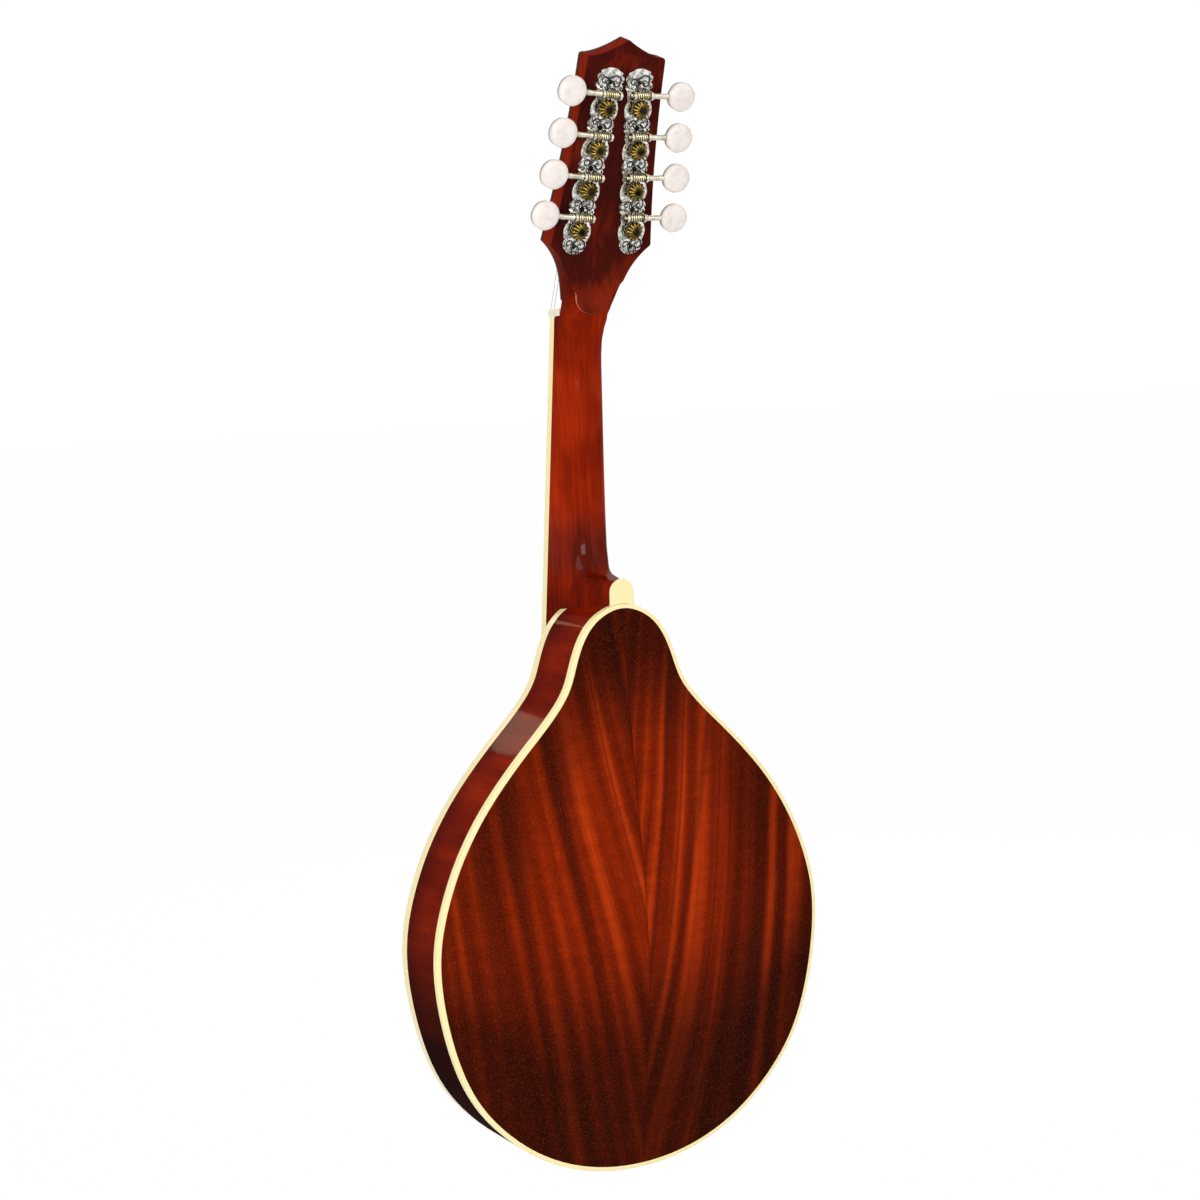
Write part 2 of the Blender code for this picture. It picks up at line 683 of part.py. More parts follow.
def whole_outline(half):
    return half + [(-x, rise) for x, rise in half[-2:0:-1]]


def head_slab(outline, low, high):
    """Slab of the headstock's outline between two heights that may follow the rise."""
    return loft([[head_point(x, rise, low(rise)) for x, rise in outline],
                 [head_point(x, rise, high(rise)) for x, rise in outline]])


def head_frame(x, rise):
    """Matrix at a point of the back face: local X to the right seen from the back, Y up, Z out."""
    across = Vector((-1, 0, 0))
    up = Vector((0, math.sin(HEAD_PITCH), math.cos(HEAD_PITCH)))
    out = across.cross(up)
    frame = Matrix((across, up, out)).transposed().to_4x4()
    frame.translation = head_point(x, rise, 0)
    return frame


def tuner_place(side, index):
    """Across and rise of a string post's axis; side is +1 on the treble side."""
    x = side * (TUNER_FIRST_X + index * TUNER_SPACING * math.sin(TUNER_TAPER))
    return x, TUNER_FIRST_RISE - index * TUNER_SPACING * math.cos(TUNER_TAPER)


def all_tuners():
    for side in (-1, 1):
        for index in range(TUNERS_PER_SIDE):
            yield side, index


def drill_posts(target, radius):
    for side, index in all_tuners():
        x, rise = tuner_place(side, index)
        hole = cylinder(radius, -HEAD_ROOT_THICKNESS - CUT, CUT, ROUND_SIDES)
        combine(target, hole, "DIFFERENCE", head_frame(x, rise))


def riser_mesh():
    """Tongue of the neck under the fingerboard's end, clear of the soundboard."""
    end_z = board_end_z()
    rings = []
    for z in (BODY_TOP_Z + RISER_LAP, BODY_TOP_Z - RISER_LAP, (BODY_TOP_Z + end_z) / 2, end_z):
        low_y = top_surface(0.0, z) - 4 * GAP
        half = board_half(z) - GAP
        foot = half * RISER_FOOT_SHARE
        rings.append([(-half, neck_seat(z), z), (half, neck_seat(z), z), (foot, low_y, z), (-foot, low_y, z)])
    return loft(rings)


def make_neck():
    neck = new_object("neck", loft(neck_rings()), WOOD_BACK)
    combine(neck, prism(inset(OUTLINE, -GAP), board_y(WIDEST_Z), BACK_EDGE_Y + BACK_ARCH), "DIFFERENCE")
    combine(neck, riser_mesh(), "UNION")
    wood = head_slab(whole_outline(head_outline(True)),
                     lambda rise: HEADPLATE_THICKNESS + GAP - head_thickness(rise), lambda rise: 0.0)
    combine(neck, wood, "UNION")
    channel = rod_mesh(ROD_SIZE / 2 + GAP, -CUT, ROD_DEPTH + ROD_SIZE + GAP, GAP)
    combine(neck, channel, "DIFFERENCE")
    drill_posts(neck, POST_RADIUS + GAP)
    neck.data.shade_smooth()
    neck.data.set_sharp_from_angle(angle=math.radians(35))


def rod_span():
    """Lowest and highest z of the truss rod."""
    return HEEL_FACE_Z + ROD_ABOVE_HEEL, HEAD_ROOT_Z + ROD_PAST_ROOT


def rod_mesh(half, top_depth, bottom_depth, extra):
    """Bar along the neck at two depths under the fingerboard's seat."""
    low, high = rod_span()
    rings = []
    for z in (low - extra, high + extra):
        rings.append([(-half, neck_seat(z) + top_depth, z), (half, neck_seat(z) + top_depth, z),
                      (half, neck_seat(z) + bottom_depth, z), (-half, neck_seat(z) + bottom_depth, z)])
    return loft(rings)


def make_neck_fittings():
    new_object("truss_rod", rod_mesh(ROD_SIZE / 2, ROD_DEPTH, ROD_DEPTH + ROD_SIZE, 0.0), NICKEL)
    half = HEEL_CAP_WIDTH / 2
    foot = [(x, z) for x, z in inset(OUTLINE, -GAP) if abs(x) < half * 1.2 and z > WIDEST_Z]
    cap = sorted(foot)
    for i in range(9):
        turn = math.pi * i / 8
        cap.append((half * math.cos(turn), HEEL_FACE_Z - half + half * math.sin(turn)))
    new_object("heel_cap", prism(cap, HEEL_END_Y, BACK_EDGE_Y), IVORY)
    nut_low, nut_high = NUT_Z + GAP, NUT_Z + GAP + NUT_THICKNESS
    seat = head_wood_front_y(nut_low) - GAP
    half = board_half(NUT_Z)
    new_object("nut", box((-half, NUT_FRONT_Y, nut_low), (half, seat, nut_high)), BONE)
    plate = new_object("headplate", head_slab(whole_outline(head_outline(False)),
                                              lambda rise: -head_thickness(rise),
                                              lambda rise: HEADPLATE_THICKNESS - head_thickness(rise)), EBONY)
    drill_posts(plate, POST_RADIUS + GAP)
    pocket = rod_span()[1] + 2 * GAP
    combine(plate, box((-ROD_SIZE / 2 - GAP, NUT_FRONT_Y - CUT, HEAD_ROOT_Z - CUT),
                       (ROD_SIZE / 2 + GAP, 0.0, pocket)), "DIFFERENCE")
    cover = [(ROD_COVER_WIDTH / 2 * wide, ROD_COVER_LENGTH * share) for share, wide in ROD_COVER_SHAPE]
    cover += [(-x, rise) for x, rise in cover[::-1]]
    new_object("truss_rod_cover", head_slab(cover,
                                            lambda rise: -head_thickness(rise) - GAP - ROD_COVER_THICKNESS,
                                            lambda rise: -head_thickness(rise) - GAP), IVORY)


def board_section(z, inset_x, front, back):
    half = board_half(z) - inset_x
    return [(-half, front, z), (half, front, z), (half, back, z), (-half, back, z)]


def make_fingerboard():
    end_z = board_end_z()
    inner = BOARD_BINDING + GAP
    inner_end = end_z + inner
    board = loft([board_section(NUT_Z, inner, board_y(NUT_Z), board_y(NUT_Z) + BOARD_THICKNESS),
                  board_section(inner_end, inner, board_y(inner_end), board_y(inner_end) + BOARD_THICKNESS)])
    fingerboard = new_object("fingerboard", board, EBONY, smooth=False)
    for number in range(1, BOARD_FRETS + 1):
        z = fret_z(number)
        rings = []
        for side in (-1, 1):
            x = side * (board_half(z) - inner)
            base, crown = board_y(z) + FRET_TANG, board_y(z) - FRET_HEIGHT
            rings.append([(x, base, z - FRET_WIDTH / 2), (x, crown, z - FRET_WIDTH / 4),
                          (x, crown, z + FRET_WIDTH / 4), (x, base, z + FRET_WIDTH / 2)])
        combine(fingerboard, loft(rings), "UNION")
    outer = loft([board_section(NUT_Z, 0.0, board_y(NUT_Z), board_y(NUT_Z) + BOARD_THICKNESS),
                  board_section(end_z, 0.0, board_y(end_z), board_y(end_z) + BOARD_THICKNESS)])
    binding = new_object("fingerboard_binding", outer, IVORY, smooth=False)
    above = NUT_Z + CUT
    below = end_z + BOARD_BINDING
    rings = [board_section(z, BOARD_BINDING, board_y(z) - CUT, board_y(z) + 2 * CUT) for z in (above, below)]
    combine(binding, loft(rings), "DIFFERENCE")


def string_front_y(z):
    """Centre height of the strings between the nut and the bridge."""
    start = NUT_FRONT_Y - GAP - max(STRING_RADII)
    slope = NECK_SLOPE + STRING_ACTION / (SCALE_LENGTH / 2)
    return start - slope * (NUT_Z - z)


def string_x(index, course_gap, pair_gap):
    course, second = divmod(index, 2)
    return (course - 1.5) * course_gap + (second - 0.5) * pair_gap


def tail_hook_z():
    return TAIL_Z + TAILPIECE_LENGTH - HOOK_FROM_END


def tail_top_y():
    """Front face of the tailpiece's base."""
    return FRONT_EDGE_Y - TAILPIECE_HEIGHT


def string_route(index):
    """Points of one string from its tuning post over nut and saddle to the tailpiece."""
    side = -1 if index < TUNERS_PER_SIDE else 1
    tuner = TUNERS_PER_SIDE - 1 - (index if side < 0 else 2 * TUNERS_PER_SIDE - 1 - index)
    x, rise = tuner_place(side, tuner)
    radius = STRING_RADII[index]
    inward = -side * (POST_RADIUS + GAP + radius)
    post = head_point(x + inward, rise, -head_thickness(rise) - POST_REACH * STRING_ON_POST)
    nut_x = string_x(index, COURSE_GAP_NUT, PAIR_GAP)
    saddle_x = string_x(index, COURSE_GAP_BRIDGE, PAIR_GAP)
    nut_y = string_front_y(NUT_Z)
    saddle_y = string_front_y(BRIDGE_Z)
    half_nut, half_saddle = NUT_THICKNESS / 2 + GAP, SADDLE_WIDTH / 2
    tail_x = string_x(index, COURSE_GAP_NUT, PAIR_GAP)
    return [post,
            Vector((nut_x, nut_y, NUT_Z + 2 * half_nut)),
            Vector((nut_x, nut_y, NUT_Z)),
            Vector((saddle_x, saddle_y, BRIDGE_Z + half_saddle)),
            Vector((saddle_x, saddle_y, BRIDGE_Z - half_saddle)),
            Vector((tail_x, tail_top_y() - GAP - 2 * radius, tail_hook_z()))]


def make_strings():
    for index, radius in enumerate(STRING_RADII):
        curve = bpy.data.curves.new("string", "CURVE")
        curve.dimensions = "3D"
        curve.bevel_depth = radius
        curve.bevel_resolution = 1
        curve.use_fill_caps = True
        route = string_route(index)
        spline = curve.splines.new("POLY")
        spline.points.add(len(route) - 1)
        for point, place in zip(spline.points, route):
            point.co = (*place, 1.0)
        made = bpy.data.objects.new(f"string_{index + 1}", curve)
        bpy.context.scene.collection.objects.link(made)
        curve.materials.append(material(made.name, BRASS if index < 4 else NICKEL))


def plate_matrix(side):
    """Frame of one tuner plate: origin at its first post, local -Y down the row of posts."""
    x, rise = tuner_place(side, 0)
    return head_frame(x, rise) @ Matrix.Rotation(-side * TUNER_TAPER, 4, "Z")


def plate_outline():
    """Scalloped outline of one tuner plate as (x, y), its waists between the tuners."""
    half = TUNER_PLATE_WIDTH / 2
    low = -(TUNERS_PER_SIDE - 1) * TUNER_SPACING - TUNER_PLATE_BELOW
    side = []
    for i in range(PLATE_STEPS + 1):
        y = low + (TUNER_PLATE_ABOVE - low) * i / PLATE_STEPS
        wave = 1 - PLATE_SCALLOP * (1 - math.cos(2 * math.tau * y / TUNER_SPACING)) / 2
        end = min(1.0, (y - low + PLATE_TIP) / half, (TUNER_PLATE_ABOVE + PLATE_TIP - y) / half)
        side.append((half * wave * math.sqrt(1 - (1 - end) ** 2), y))
    return side + [(-x, y) for x, y in side[::-1]]


def worm_matrix(side, index):
    """Frame on a worm's axis: local X runs out to the button, Z away from the headstock."""
    x, rise = tuner_place(side, index)
    frame = head_frame(x, rise) @ Matrix.Rotation(-side * TUNER_TAPER, 4, "Z")
    frame = frame @ Matrix.Translation((0, WORM_OFFSET, WORM_HEIGHT))
    if side > 0:
        return frame @ Matrix.Rotation(math.pi + TUNER_TAPER - WORM_TILT_TREBLE, 4, "Z")
    return frame @ Matrix.Rotation(WORM_TILT_BASS - TUNER_TAPER, 4, "Z")


def along_x(mesh):
    """Turn a shape made about Z so that it lies about X."""
    mesh.transform(Matrix.Rotation(math.pi / 2, 4, "Y"))
    return mesh


def make_tuner_plates():
    top = GAP + PLATE_METAL
    lug_x = WORM_LENGTH / 2 + GAP
    for side, name in ((1, "tuner_plate_treble"), (-1, "tuner_plate_bass")):
        matrix = plate_matrix(side)
        outline = plate_outline()
        plate = new_object(name, loft([[(x, y, GAP) for x, y in outline], [(x, y, top) for x, y in outline]]),
                           NICKEL, matrix, smooth=False)
        for index in range(TUNERS_PER_SIDE):
            worm = worm_matrix(side, index)
            for place in (lug_x, -lug_x - LUG_THICKNESS):
                lug = box((place, -LUG_LENGTH / 2, top - WORM_HEIGHT - PLATE_METAL / 2),
                          (place + LUG_THICKNESS, LUG_LENGTH / 2, SHAFT_RADIUS + LUG_OVER_SHAFT))
                combine(plate, lug, "UNION", worm)
            bore = along_x(cylinder(SHAFT_RADIUS + GAP, -WORM_LENGTH, WORM_LENGTH, SHAFT_SIDES))
            combine(plate, bore, "DIFFERENCE", worm)
            x, rise = tuner_place(side, index)
            hole = cylinder(POST_RADIUS + GAP, -CUT, top + PLATE_METAL / 2, ROUND_SIDES)
            combine(plate, hole, "DIFFERENCE", head_frame(x, rise))
        plate.data.shade_smooth()
        plate.data.set_sharp_from_angle(angle=math.radians(35))


def gear_outline(radius):
    points = []
    for tooth in range(GEAR_TEETH):
        for share, height in ((0.0, -GEAR_TOOTH), (0.5, 0.0)):
            turn = math.tau * (tooth + share) / GEAR_TEETH
            points.append(((radius + height) * math.cos(turn), (radius + height) * math.sin(turn)))
    return points


def post_mesh():
    """String post with its gear, collar and screw head, about local Z."""
    outline = gear_outline(GEAR_RADIUS)
    tip = -HEAD_ROOT_THICKNESS - POST_REACH
    gear = loft([[(x, y, GEAR_HEIGHT) for x, y in outline],
                 [(x, y, GEAR_HEIGHT + GEAR_THICKNESS) for x, y in outline]])
    built = new_object("string_post", gear, smooth=False)
    inside = GEAR_HEIGHT + GEAR_THICKNESS / 3
    core = turned([(POST_RADIUS * POST_TIP_SHARE, tip), (POST_RADIUS, tip + POST_CHAMFER),
                   (POST_RADIUS, inside), (COLLAR_RADIUS, inside + POST_CHAMFER / 3),
                   (COLLAR_RADIUS, SCREW_HEIGHT - POST_CHAMFER),
                   (COLLAR_RADIUS * POST_TIP_SHARE, SCREW_HEIGHT)], ROUND_SIDES)
    combine(built, core, "UNION")
    hole = along_x(cylinder(STRING_HOLE_RADIUS, -CUT, CUT, 6))
    hole.transform(Matrix.Translation((0, 0, tip + POST_REACH * STRING_HOLE_ON_POST)))
    combine(built, hole, "DIFFERENCE")
    mesh = built.data
    bpy.data.objects.remove(built)
    return mesh


def shaft_mesh():
    """Worm and its shaft about local X, with the flat end that the button holds."""
    outer = WORM_LENGTH / 2 + 2 * GAP + LUG_THICKNESS
    stop = BUTTON_OFFSET - BUTTON_RADIUS
    thin, thick = SHAFT_RADIUS, SHAFT_RADIUS * SHAFT_COLLAR_SHARE
    half = WORM_LENGTH / 2
    profile = [(thin, -outer - SHAFT_TAIL), (thin, -half), (WORM_RADIUS, GAP - half),
               (WORM_RADIUS, half - GAP), (thin, half), (thin, outer + GAP), (thick, outer + 2 * GAP),
               (thick, stop - 2 * GAP), (thin, stop - GAP), (thin, stop + SHAFT_IN_BUTTON)]
    return along_x(turned(profile, SHAFT_SIDES))


def button_mesh():
    """Round button: a disc facing away from the headstock, bored for the shaft's end."""
    half = BUTTON_THICKNESS / 2
    profile = []
    for turn in (0.0, math.pi / 4, math.pi / 2):
        radius = BUTTON_RADIUS - BUTTON_ROUND * (1 - math.sin(turn))
        profile.append((radius, -half + BUTTON_ROUND * (1 - math.cos(turn))))
    profile += [(radius, -height) for radius, height in profile[::-1]]
    built = new_object("button", turned(profile, 18), smooth=False)
    built.data.transform(Matrix.Translation((BUTTON_OFFSET, 0, 0)))
    stop = BUTTON_OFFSET - BUTTON_RADIUS
    bore = along_x(cylinder(SHAFT_RADIUS + GAP, stop - CUT, stop + SHAFT_IN_BUTTON + GAP, SHAFT_SIDES))
    combine(built, bore, "DIFFERENCE")
    mesh = built.data
    bpy.data.objects.remove(built)
    return mesh


def make_tuners():
    make_tuner_plates()
    shapes = (("string_post", post_mesh(), BRASS), ("worm_shaft", shaft_mesh(), NICKEL),
              ("button", button_mesh(), PEARL))
    for side, index in all_tuners():
        label = f"{'treble' if side > 0 else 'bass'}_{index + 1}"
        x, rise = tuner_place(side, index)
        for name, mesh, look in shapes:
            matrix = head_frame(x, rise) if name == "string_post" else worm_matrix(side, index)
            new_object(f"{name}_{label}", mesh.copy(), look, matrix)


def saddle_heights():
    """Lowest and highest y of the saddle's bar."""
    front = string_front_y(BRIDGE_Z) + max(STRING_RADII) + GAP
    base_top = top_surface(0.0, BRIDGE_Z) - GAP - BRIDGE_BASE_HEIGHT
    seat = base_top - SADDLE_DROP - 2 * GAP - WHEEL_THICKNESS - GAP
    return front, seat


def make_bridge():
    base_top = top_surface(0.0, BRIDGE_Z) - GAP - BRIDGE_BASE_HEIGHT

    def foot(x, z):
        return top_surface(x, z) - GAP

    def rise(x):
        share = min(1.0, abs(2 * x / BRIDGE_LENGTH))
        return base_top + BRIDGE_END_DROP * smoothstep(share) - top_surface(x, BRIDGE_Z) + GAP

    bar = strip_under_arch(BRIDGE_LENGTH, BRIDGE_WIDTH, BRIDGE_Z, foot, rise)
    base = new_object("bridge_base", bar, EBONY)
    front, seat = saddle_heights()
    stud_matrix = Matrix.Rotation(math.pi / 2, 4, "X")
    half = SADDLE_LENGTH / 2
    rings = []
    full = half - SADDLE_END_LENGTH
    for x, drop in ((-half, SADDLE_END_ROUND), (-full, 0.0), (full, 0.0), (half, SADDLE_END_ROUND)):
        rings.append([(x, y, z) for y, z in saddle_profile(front + drop, seat - drop)])
    saddle = new_object("bridge_saddle", loft(rings), EBONY)
    for side, name in ((1, "thumbwheel_treble"), (-1, "thumbwheel_bass")):
        x = side * STUD_SPACING / 2
        stud = Matrix.Translation((x, 0, BRIDGE_Z)) @ stud_matrix
        stud_tip = seat - STUD_IN_SADDLE
        root = -base_top - BRIDGE_BASE_HEIGHT / 4
        combine(base, cylinder(STUD_RADIUS, root, -stud_tip, ROUND_SIDES), "UNION", stud)
        bore = cylinder(STUD_RADIUS + GAP, root, SADDLE_DROP + 2 * GAP - stud_tip, ROUND_SIDES)
        combine(saddle, bore, "DIFFERENCE", stud)
        high = seat + GAP
        wheel_frame = Matrix.Translation((x, high, BRIDGE_Z)) @ stud_matrix
        disc = cylinder(WHEEL_RADIUS, -WHEEL_THICKNESS, 0.0, WHEEL_SIDES)
        wheel = new_object(name, disc, BRASS, wheel_frame)
        combine(wheel, cylinder(STUD_RADIUS + GAP, -CUT, CUT, ROUND_SIDES), "DIFFERENCE", wheel_frame)


def saddle_profile(front, seat):
    """Upright walls as high as the studs' bores, then a taper to the crest."""
    half = SADDLE_WIDTH / 2
    crest = half * SADDLE_CREST_SHARE
    wall = seat - STUD_IN_SADDLE - SADDLE_DROP - 4 * GAP
    return [(seat, BRIDGE_Z - half), (seat, BRIDGE_Z + half), (wall, BRIDGE_Z + half),
            (front, BRIDGE_Z + crest), (front, BRIDGE_Z - crest), (wall, BRIDGE_Z - half)]


def cover_section(half, crown, below, z):
    """Crowned section of the tailpiece's cover, its side walls down to the base's rear face."""
    rear, spring = tail_top_y() + SHEET_METAL + below, tail_top_y() - GAP
    ring = [(half, rear, z)]
    for i in range(11):
        turn = math.pi * i / 10
        ring.append((half * math.cos(turn), spring - crown * math.sin(turn) ** COVER_SQUARENESS, z))
    return ring + [(-half, rear, z)]


def make_tailpiece():
    half = TAILPIECE_WIDTH / 2
    front = tail_top_y()
    low_z = TAIL_Z - GAP - SHEET_METAL
    leaf = box((-half, front, low_z), (half, front + TAILPIECE_LEAF, low_z + SHEET_METAL))
    base = new_object("tailpiece_base", leaf, NICKEL, smooth=False)
    combine(base, box((-half, front, low_z), (half, front + SHEET_METAL, TAIL_Z + TAILPIECE_LENGTH)), "UNION")
    hook_z = tail_hook_z() - GAP
    bar = HOOK_BAR_SHARE * half
    hooks = box((-bar, front - HOOK_HEIGHT, hook_z - HOOK_LENGTH), (bar, front + SHEET_METAL / 2, hook_z))
    combine(base, hooks, "UNION")
    low = low_z - GAP - SHEET_METAL
    high = low + COVER_LENGTH
    outer, inner = half + GAP + SHEET_METAL, half + GAP
    rings_out = [cover_section(outer, COVER_CROWN + SHEET_METAL, 0.0, z) for z in (low, high)]
    rings_in = [cover_section(inner, COVER_CROWN, COVER_OPEN_BELOW, z + SHEET_METAL) for z in (low, high)]
    cover = new_object("tailpiece_cover", loft(rings_out), NICKEL)
    combine(cover, loft(rings_in), "DIFFERENCE")


def build():
    clear_scene()
    make_plates()
    make_sides()
    make_linings()
    make_blocks()
    make_brace()
    make_neck()
    make_neck_fittings()
    make_fingerboard()
    make_bridge()
    make_tailpiece()
    make_tuners()
    make_strings()


build()
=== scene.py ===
"""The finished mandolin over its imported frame: arched body, bound edges, neck, tuners, bridge and strings.

Metres, in the frame of the CAD part: +Z up the neck, the back faces +Y, the top faces -Y.
"""

from bisect import bisect
from math import atan2, copysign, cos, hypot, inf, pi, radians, sin, sqrt, tan, tau

import bpy
from mathutils import Matrix, Vector


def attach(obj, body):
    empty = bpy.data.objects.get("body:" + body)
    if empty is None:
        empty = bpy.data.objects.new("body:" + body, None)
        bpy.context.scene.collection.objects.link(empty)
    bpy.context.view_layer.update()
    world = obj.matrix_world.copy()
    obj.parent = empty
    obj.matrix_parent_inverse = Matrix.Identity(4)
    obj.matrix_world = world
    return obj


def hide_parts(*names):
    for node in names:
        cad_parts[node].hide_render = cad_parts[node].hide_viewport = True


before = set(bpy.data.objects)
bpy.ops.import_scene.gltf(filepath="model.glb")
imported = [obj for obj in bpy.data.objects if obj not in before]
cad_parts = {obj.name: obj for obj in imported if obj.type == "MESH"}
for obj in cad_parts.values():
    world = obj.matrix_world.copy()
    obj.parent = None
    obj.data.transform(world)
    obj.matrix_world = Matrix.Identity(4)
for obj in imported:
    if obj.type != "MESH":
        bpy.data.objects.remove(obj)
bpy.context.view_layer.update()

OVER = Matrix.Rotation(pi, 4, "X")

# Body, as in the CAD part
BODY_LENGTH, BODY_WIDTH, BODY_TOP_Z = 0.3400, 0.2630, -0.1930
BACK_EDGE_Y, FRONT_EDGE_Y = 0.0195, -0.0274
SIDE_THICKNESS, PLATE_THICKNESS = 0.0022, 0.0038
BACK_ARCH, TOP_ARCH = 0.0147, 0.0160
BINDING_WIDTH, BACK_BINDING_HEIGHT, TOP_BINDING_HEIGHT = 0.0026, 0.0046, 0.0070
HOLE_LENGTH, HOLE_WIDTH, HOLE_BELOW_BOARD = 0.0600, 0.0480, 0.0060
EGG_SHARE, ARCH_FULLNESS = 0.85, 0.85
# Half of the outline, tail to neck: share of the half width, share of the length from the tail
OUTLINE_SHAPE = [
    (0.000, 0.000), (0.289, 0.015), (0.554, 0.062), (0.767, 0.138), (0.916, 0.233), (1.000, 0.390),
    (0.970, 0.491), (0.893, 0.578), (0.792, 0.647), (0.690, 0.700), (0.560, 0.755), (0.457, 0.794),
    (0.376, 0.827), (0.309, 0.861), (0.275, 0.895), (0.233, 0.938), (0.160, 0.978), (0.056, 0.998),
]
OUTLINE_STEPS, RELAX_PASSES = 8, 40
HALF_WIDTH = BODY_WIDTH / 2
TAIL_Z = BODY_TOP_Z - BODY_LENGTH
WIDEST_Z = TAIL_Z + 0.390 * BODY_LENGTH

# Neck, fingerboard and strings
NUT_Z, NUT_THICKNESS, NUT_FRONT_Y = -0.0234, 0.0039, -0.0290
SCALE_LENGTH, NECK_ANGLE = 0.3450, radians(5.8)
BOARD_FRONT_Y, BOARD_THICKNESS = -0.0274, 0.0055
BOARD_NUT_WIDTH, BOARD_BODY_WIDTH = 0.0292, 0.0372
BOARD_FRETS, BOARD_AFTER_FRET, BOARD_BINDING = 20, 0.0060, 0.0015
STRING_ACTION = 0.0008
STRING_RADII = [0.00050, 0.00050, 0.00034, 0.00034, 0.00021, 0.00021, 0.00016, 0.00016]
COURSE_GAP_NUT, COURSE_GAP_BRIDGE, PAIR_GAP = 0.0075, 0.0130, 0.0022
NECK_SLOPE = tan(NECK_ANGLE)
HEEL_FACE_Z, HEEL_CAP_WIDTH, HEEL_CAP_THICKNESS = -0.1780, 0.0156, 0.0018
HEEL_START_Z, NECK_DEPTH, NECK_DEPTH_LOSS = -0.1600, 0.0246, 0.0086
FRET_HEIGHT, FRET_WIDTH, STRING_BEND = 0.0009, 0.0020, 0.0012

# Headstock, heights above its back face positive towards the back
HEAD_PITCH, HEAD_TAPER = radians(20.0), radians(1.1)
HEAD_BACK_Y, HEAD_ROOT_THICKNESS, HEADPLATE_THICKNESS = -0.0011, 0.0138, 0.0018
HEAD_CORNER_RISE, HEAD_CORNER_WIDTH = 0.0367, 0.0674
HEAD_SHOULDER_RISE, HEAD_SHOULDER_WIDTH = 0.1454, 0.0512
HEAD_PEAK_RISE, HEAD_SIDE_BOW = 0.1547, 0.0018
TONGUE_RADIUS, TONGUE_STEP = 0.0122, 0.0010
ROD_COVER_LENGTH, ROD_COVER_WIDTH, ROD_COVER_THICKNESS = 0.0300, 0.0200, 0.0015
GAP = 0.0003
HEAD_ROOT_Z = NUT_Z + NUT_THICKNESS + 2 * GAP

# Tuners, the first being the one nearest the tip
TUNER_SPACING, TUNER_TAPER = 0.0236, radians(5.7)
TUNER_FIRST_RISE, TUNER_FIRST_X = 0.1168, 0.0110
PLATE_METAL = 0.0010
POST_RADIUS, POST_REACH, STRING_ON_POST, COIL_TURNS = 0.0030, 0.0145, 0.55, 3.25
GEAR_RADIUS, GEAR_TEETH, GEAR_TOOTH = 0.0056, 14, 0.0009
GEAR_THICKNESS, GEAR_HEIGHT = 0.0030, 0.0037
COLLAR_RADIUS, SCREW_HEIGHT = 0.0032, 0.0076
WORM_RADIUS, WORM_LENGTH, WORM_CORE, WORM_TURNS = 0.0020, 0.0095, 0.00125, 6.5
WORM_TILT_TREBLE, WORM_TILT_BASS = radians(4.0), radians(0.6)
SHAFT_RADIUS, LUG_THICKNESS = 0.0011, 0.0014
BUTTON_RADIUS, BUTTON_THICKNESS, BUTTON_OFFSET = 0.0085, 0.0064, 0.0256
WORM_OFFSET = GEAR_RADIUS + WORM_RADIUS + 1.5 * GAP
WORM_HEIGHT = GEAR_HEIGHT + GEAR_THICKNESS / 2

# Bridge and tailpiece
BRIDGE_Z = NUT_Z - SCALE_LENGTH * cos(NECK_ANGLE)
BRIDGE_LENGTH, BRIDGE_WIDTH, BRIDGE_BASE_HEIGHT = 0.1130, 0.0090, 0.0080
BRIDGE_END_DROP = 0.0030
SADDLE_LENGTH, SADDLE_WIDTH, SADDLE_DROP = 0.0740, 0.0060, 0.0015
STUD_RADIUS, STUD_SPACING, STUD_IN_SADDLE = 0.0016, 0.0520, 0.0045
WHEEL_RADIUS, WHEEL_THICKNESS, WHEEL_TEETH, KNURL_DEPTH = 0.0056, 0.0026, 36, 0.00022
STUD_THREADS, THREAD_DEPTH = 14, 0.00018
TAILPIECE_WIDTH, TAILPIECE_LENGTH, TAILPIECE_HEIGHT = 0.0340, 0.0420, 0.0085
TAILPIECE_LEAF, SHEET_METAL = 0.0300, 0.0012
HOOK_FROM_END, HOOK_RADIUS = 0.0080, 0.0007
COVER_LENGTH, COVER_CROWN = 0.0500, 0.0070

# Fineness of the meshes
BACK_ROWS, TOP_ROWS, NECK_STEP, NECK_COLUMNS = 34, 30, 0.0012, 56
NUT_STATIONS, BRIDGE_STATIONS, SADDLE_STATIONS, PLATE_STEPS = 160, 56, 220, 260
COVER_STEPS, WORM_ROWS, COIL_STEPS = 40, 96, 96

# Share of the neck's section that is its round, and how far below the nut its flare may start
ROUND_SHARE, FLARE_BELOW_NUT = 0.9, 0.012

# Finishes and studio
THIN_COAT, WHITE = 0.045, (1.0, 1.0, 1.0)
FLOOR_BELOW_TAIL, FLOOR_GLOW, WORLD_LIGHT = 0.27, 0.985, 0.50
CAMERA_PLACE, CAMERA_LENS, SENSOR_WIDTH = (0.6517, 1.1233, -0.0574), 66.0, 36.0
CAMERA_AZIMUTH, CAMERA_ELEVATION, CAMERA_ROLL = radians(150.03), radians(5.90), radians(-2.33)


def clear_choice():
    if bpy.context.object and bpy.context.object.mode != "OBJECT":
        bpy.ops.object.mode_set(mode="OBJECT")
    bpy.ops.object.select_all(action="DESELECT")


def primitive(name, add, **settings):
    """A new mesh primitive, named, on its own in the selection."""
    clear_choice()
    add(**settings)
    piece = bpy.context.active_object
    piece.name = name
    piece.data.name = name
    return piece


def choose(piece):
    clear_choice()
    piece.select_set(True)
    bpy.context.view_layer.objects.active = piece


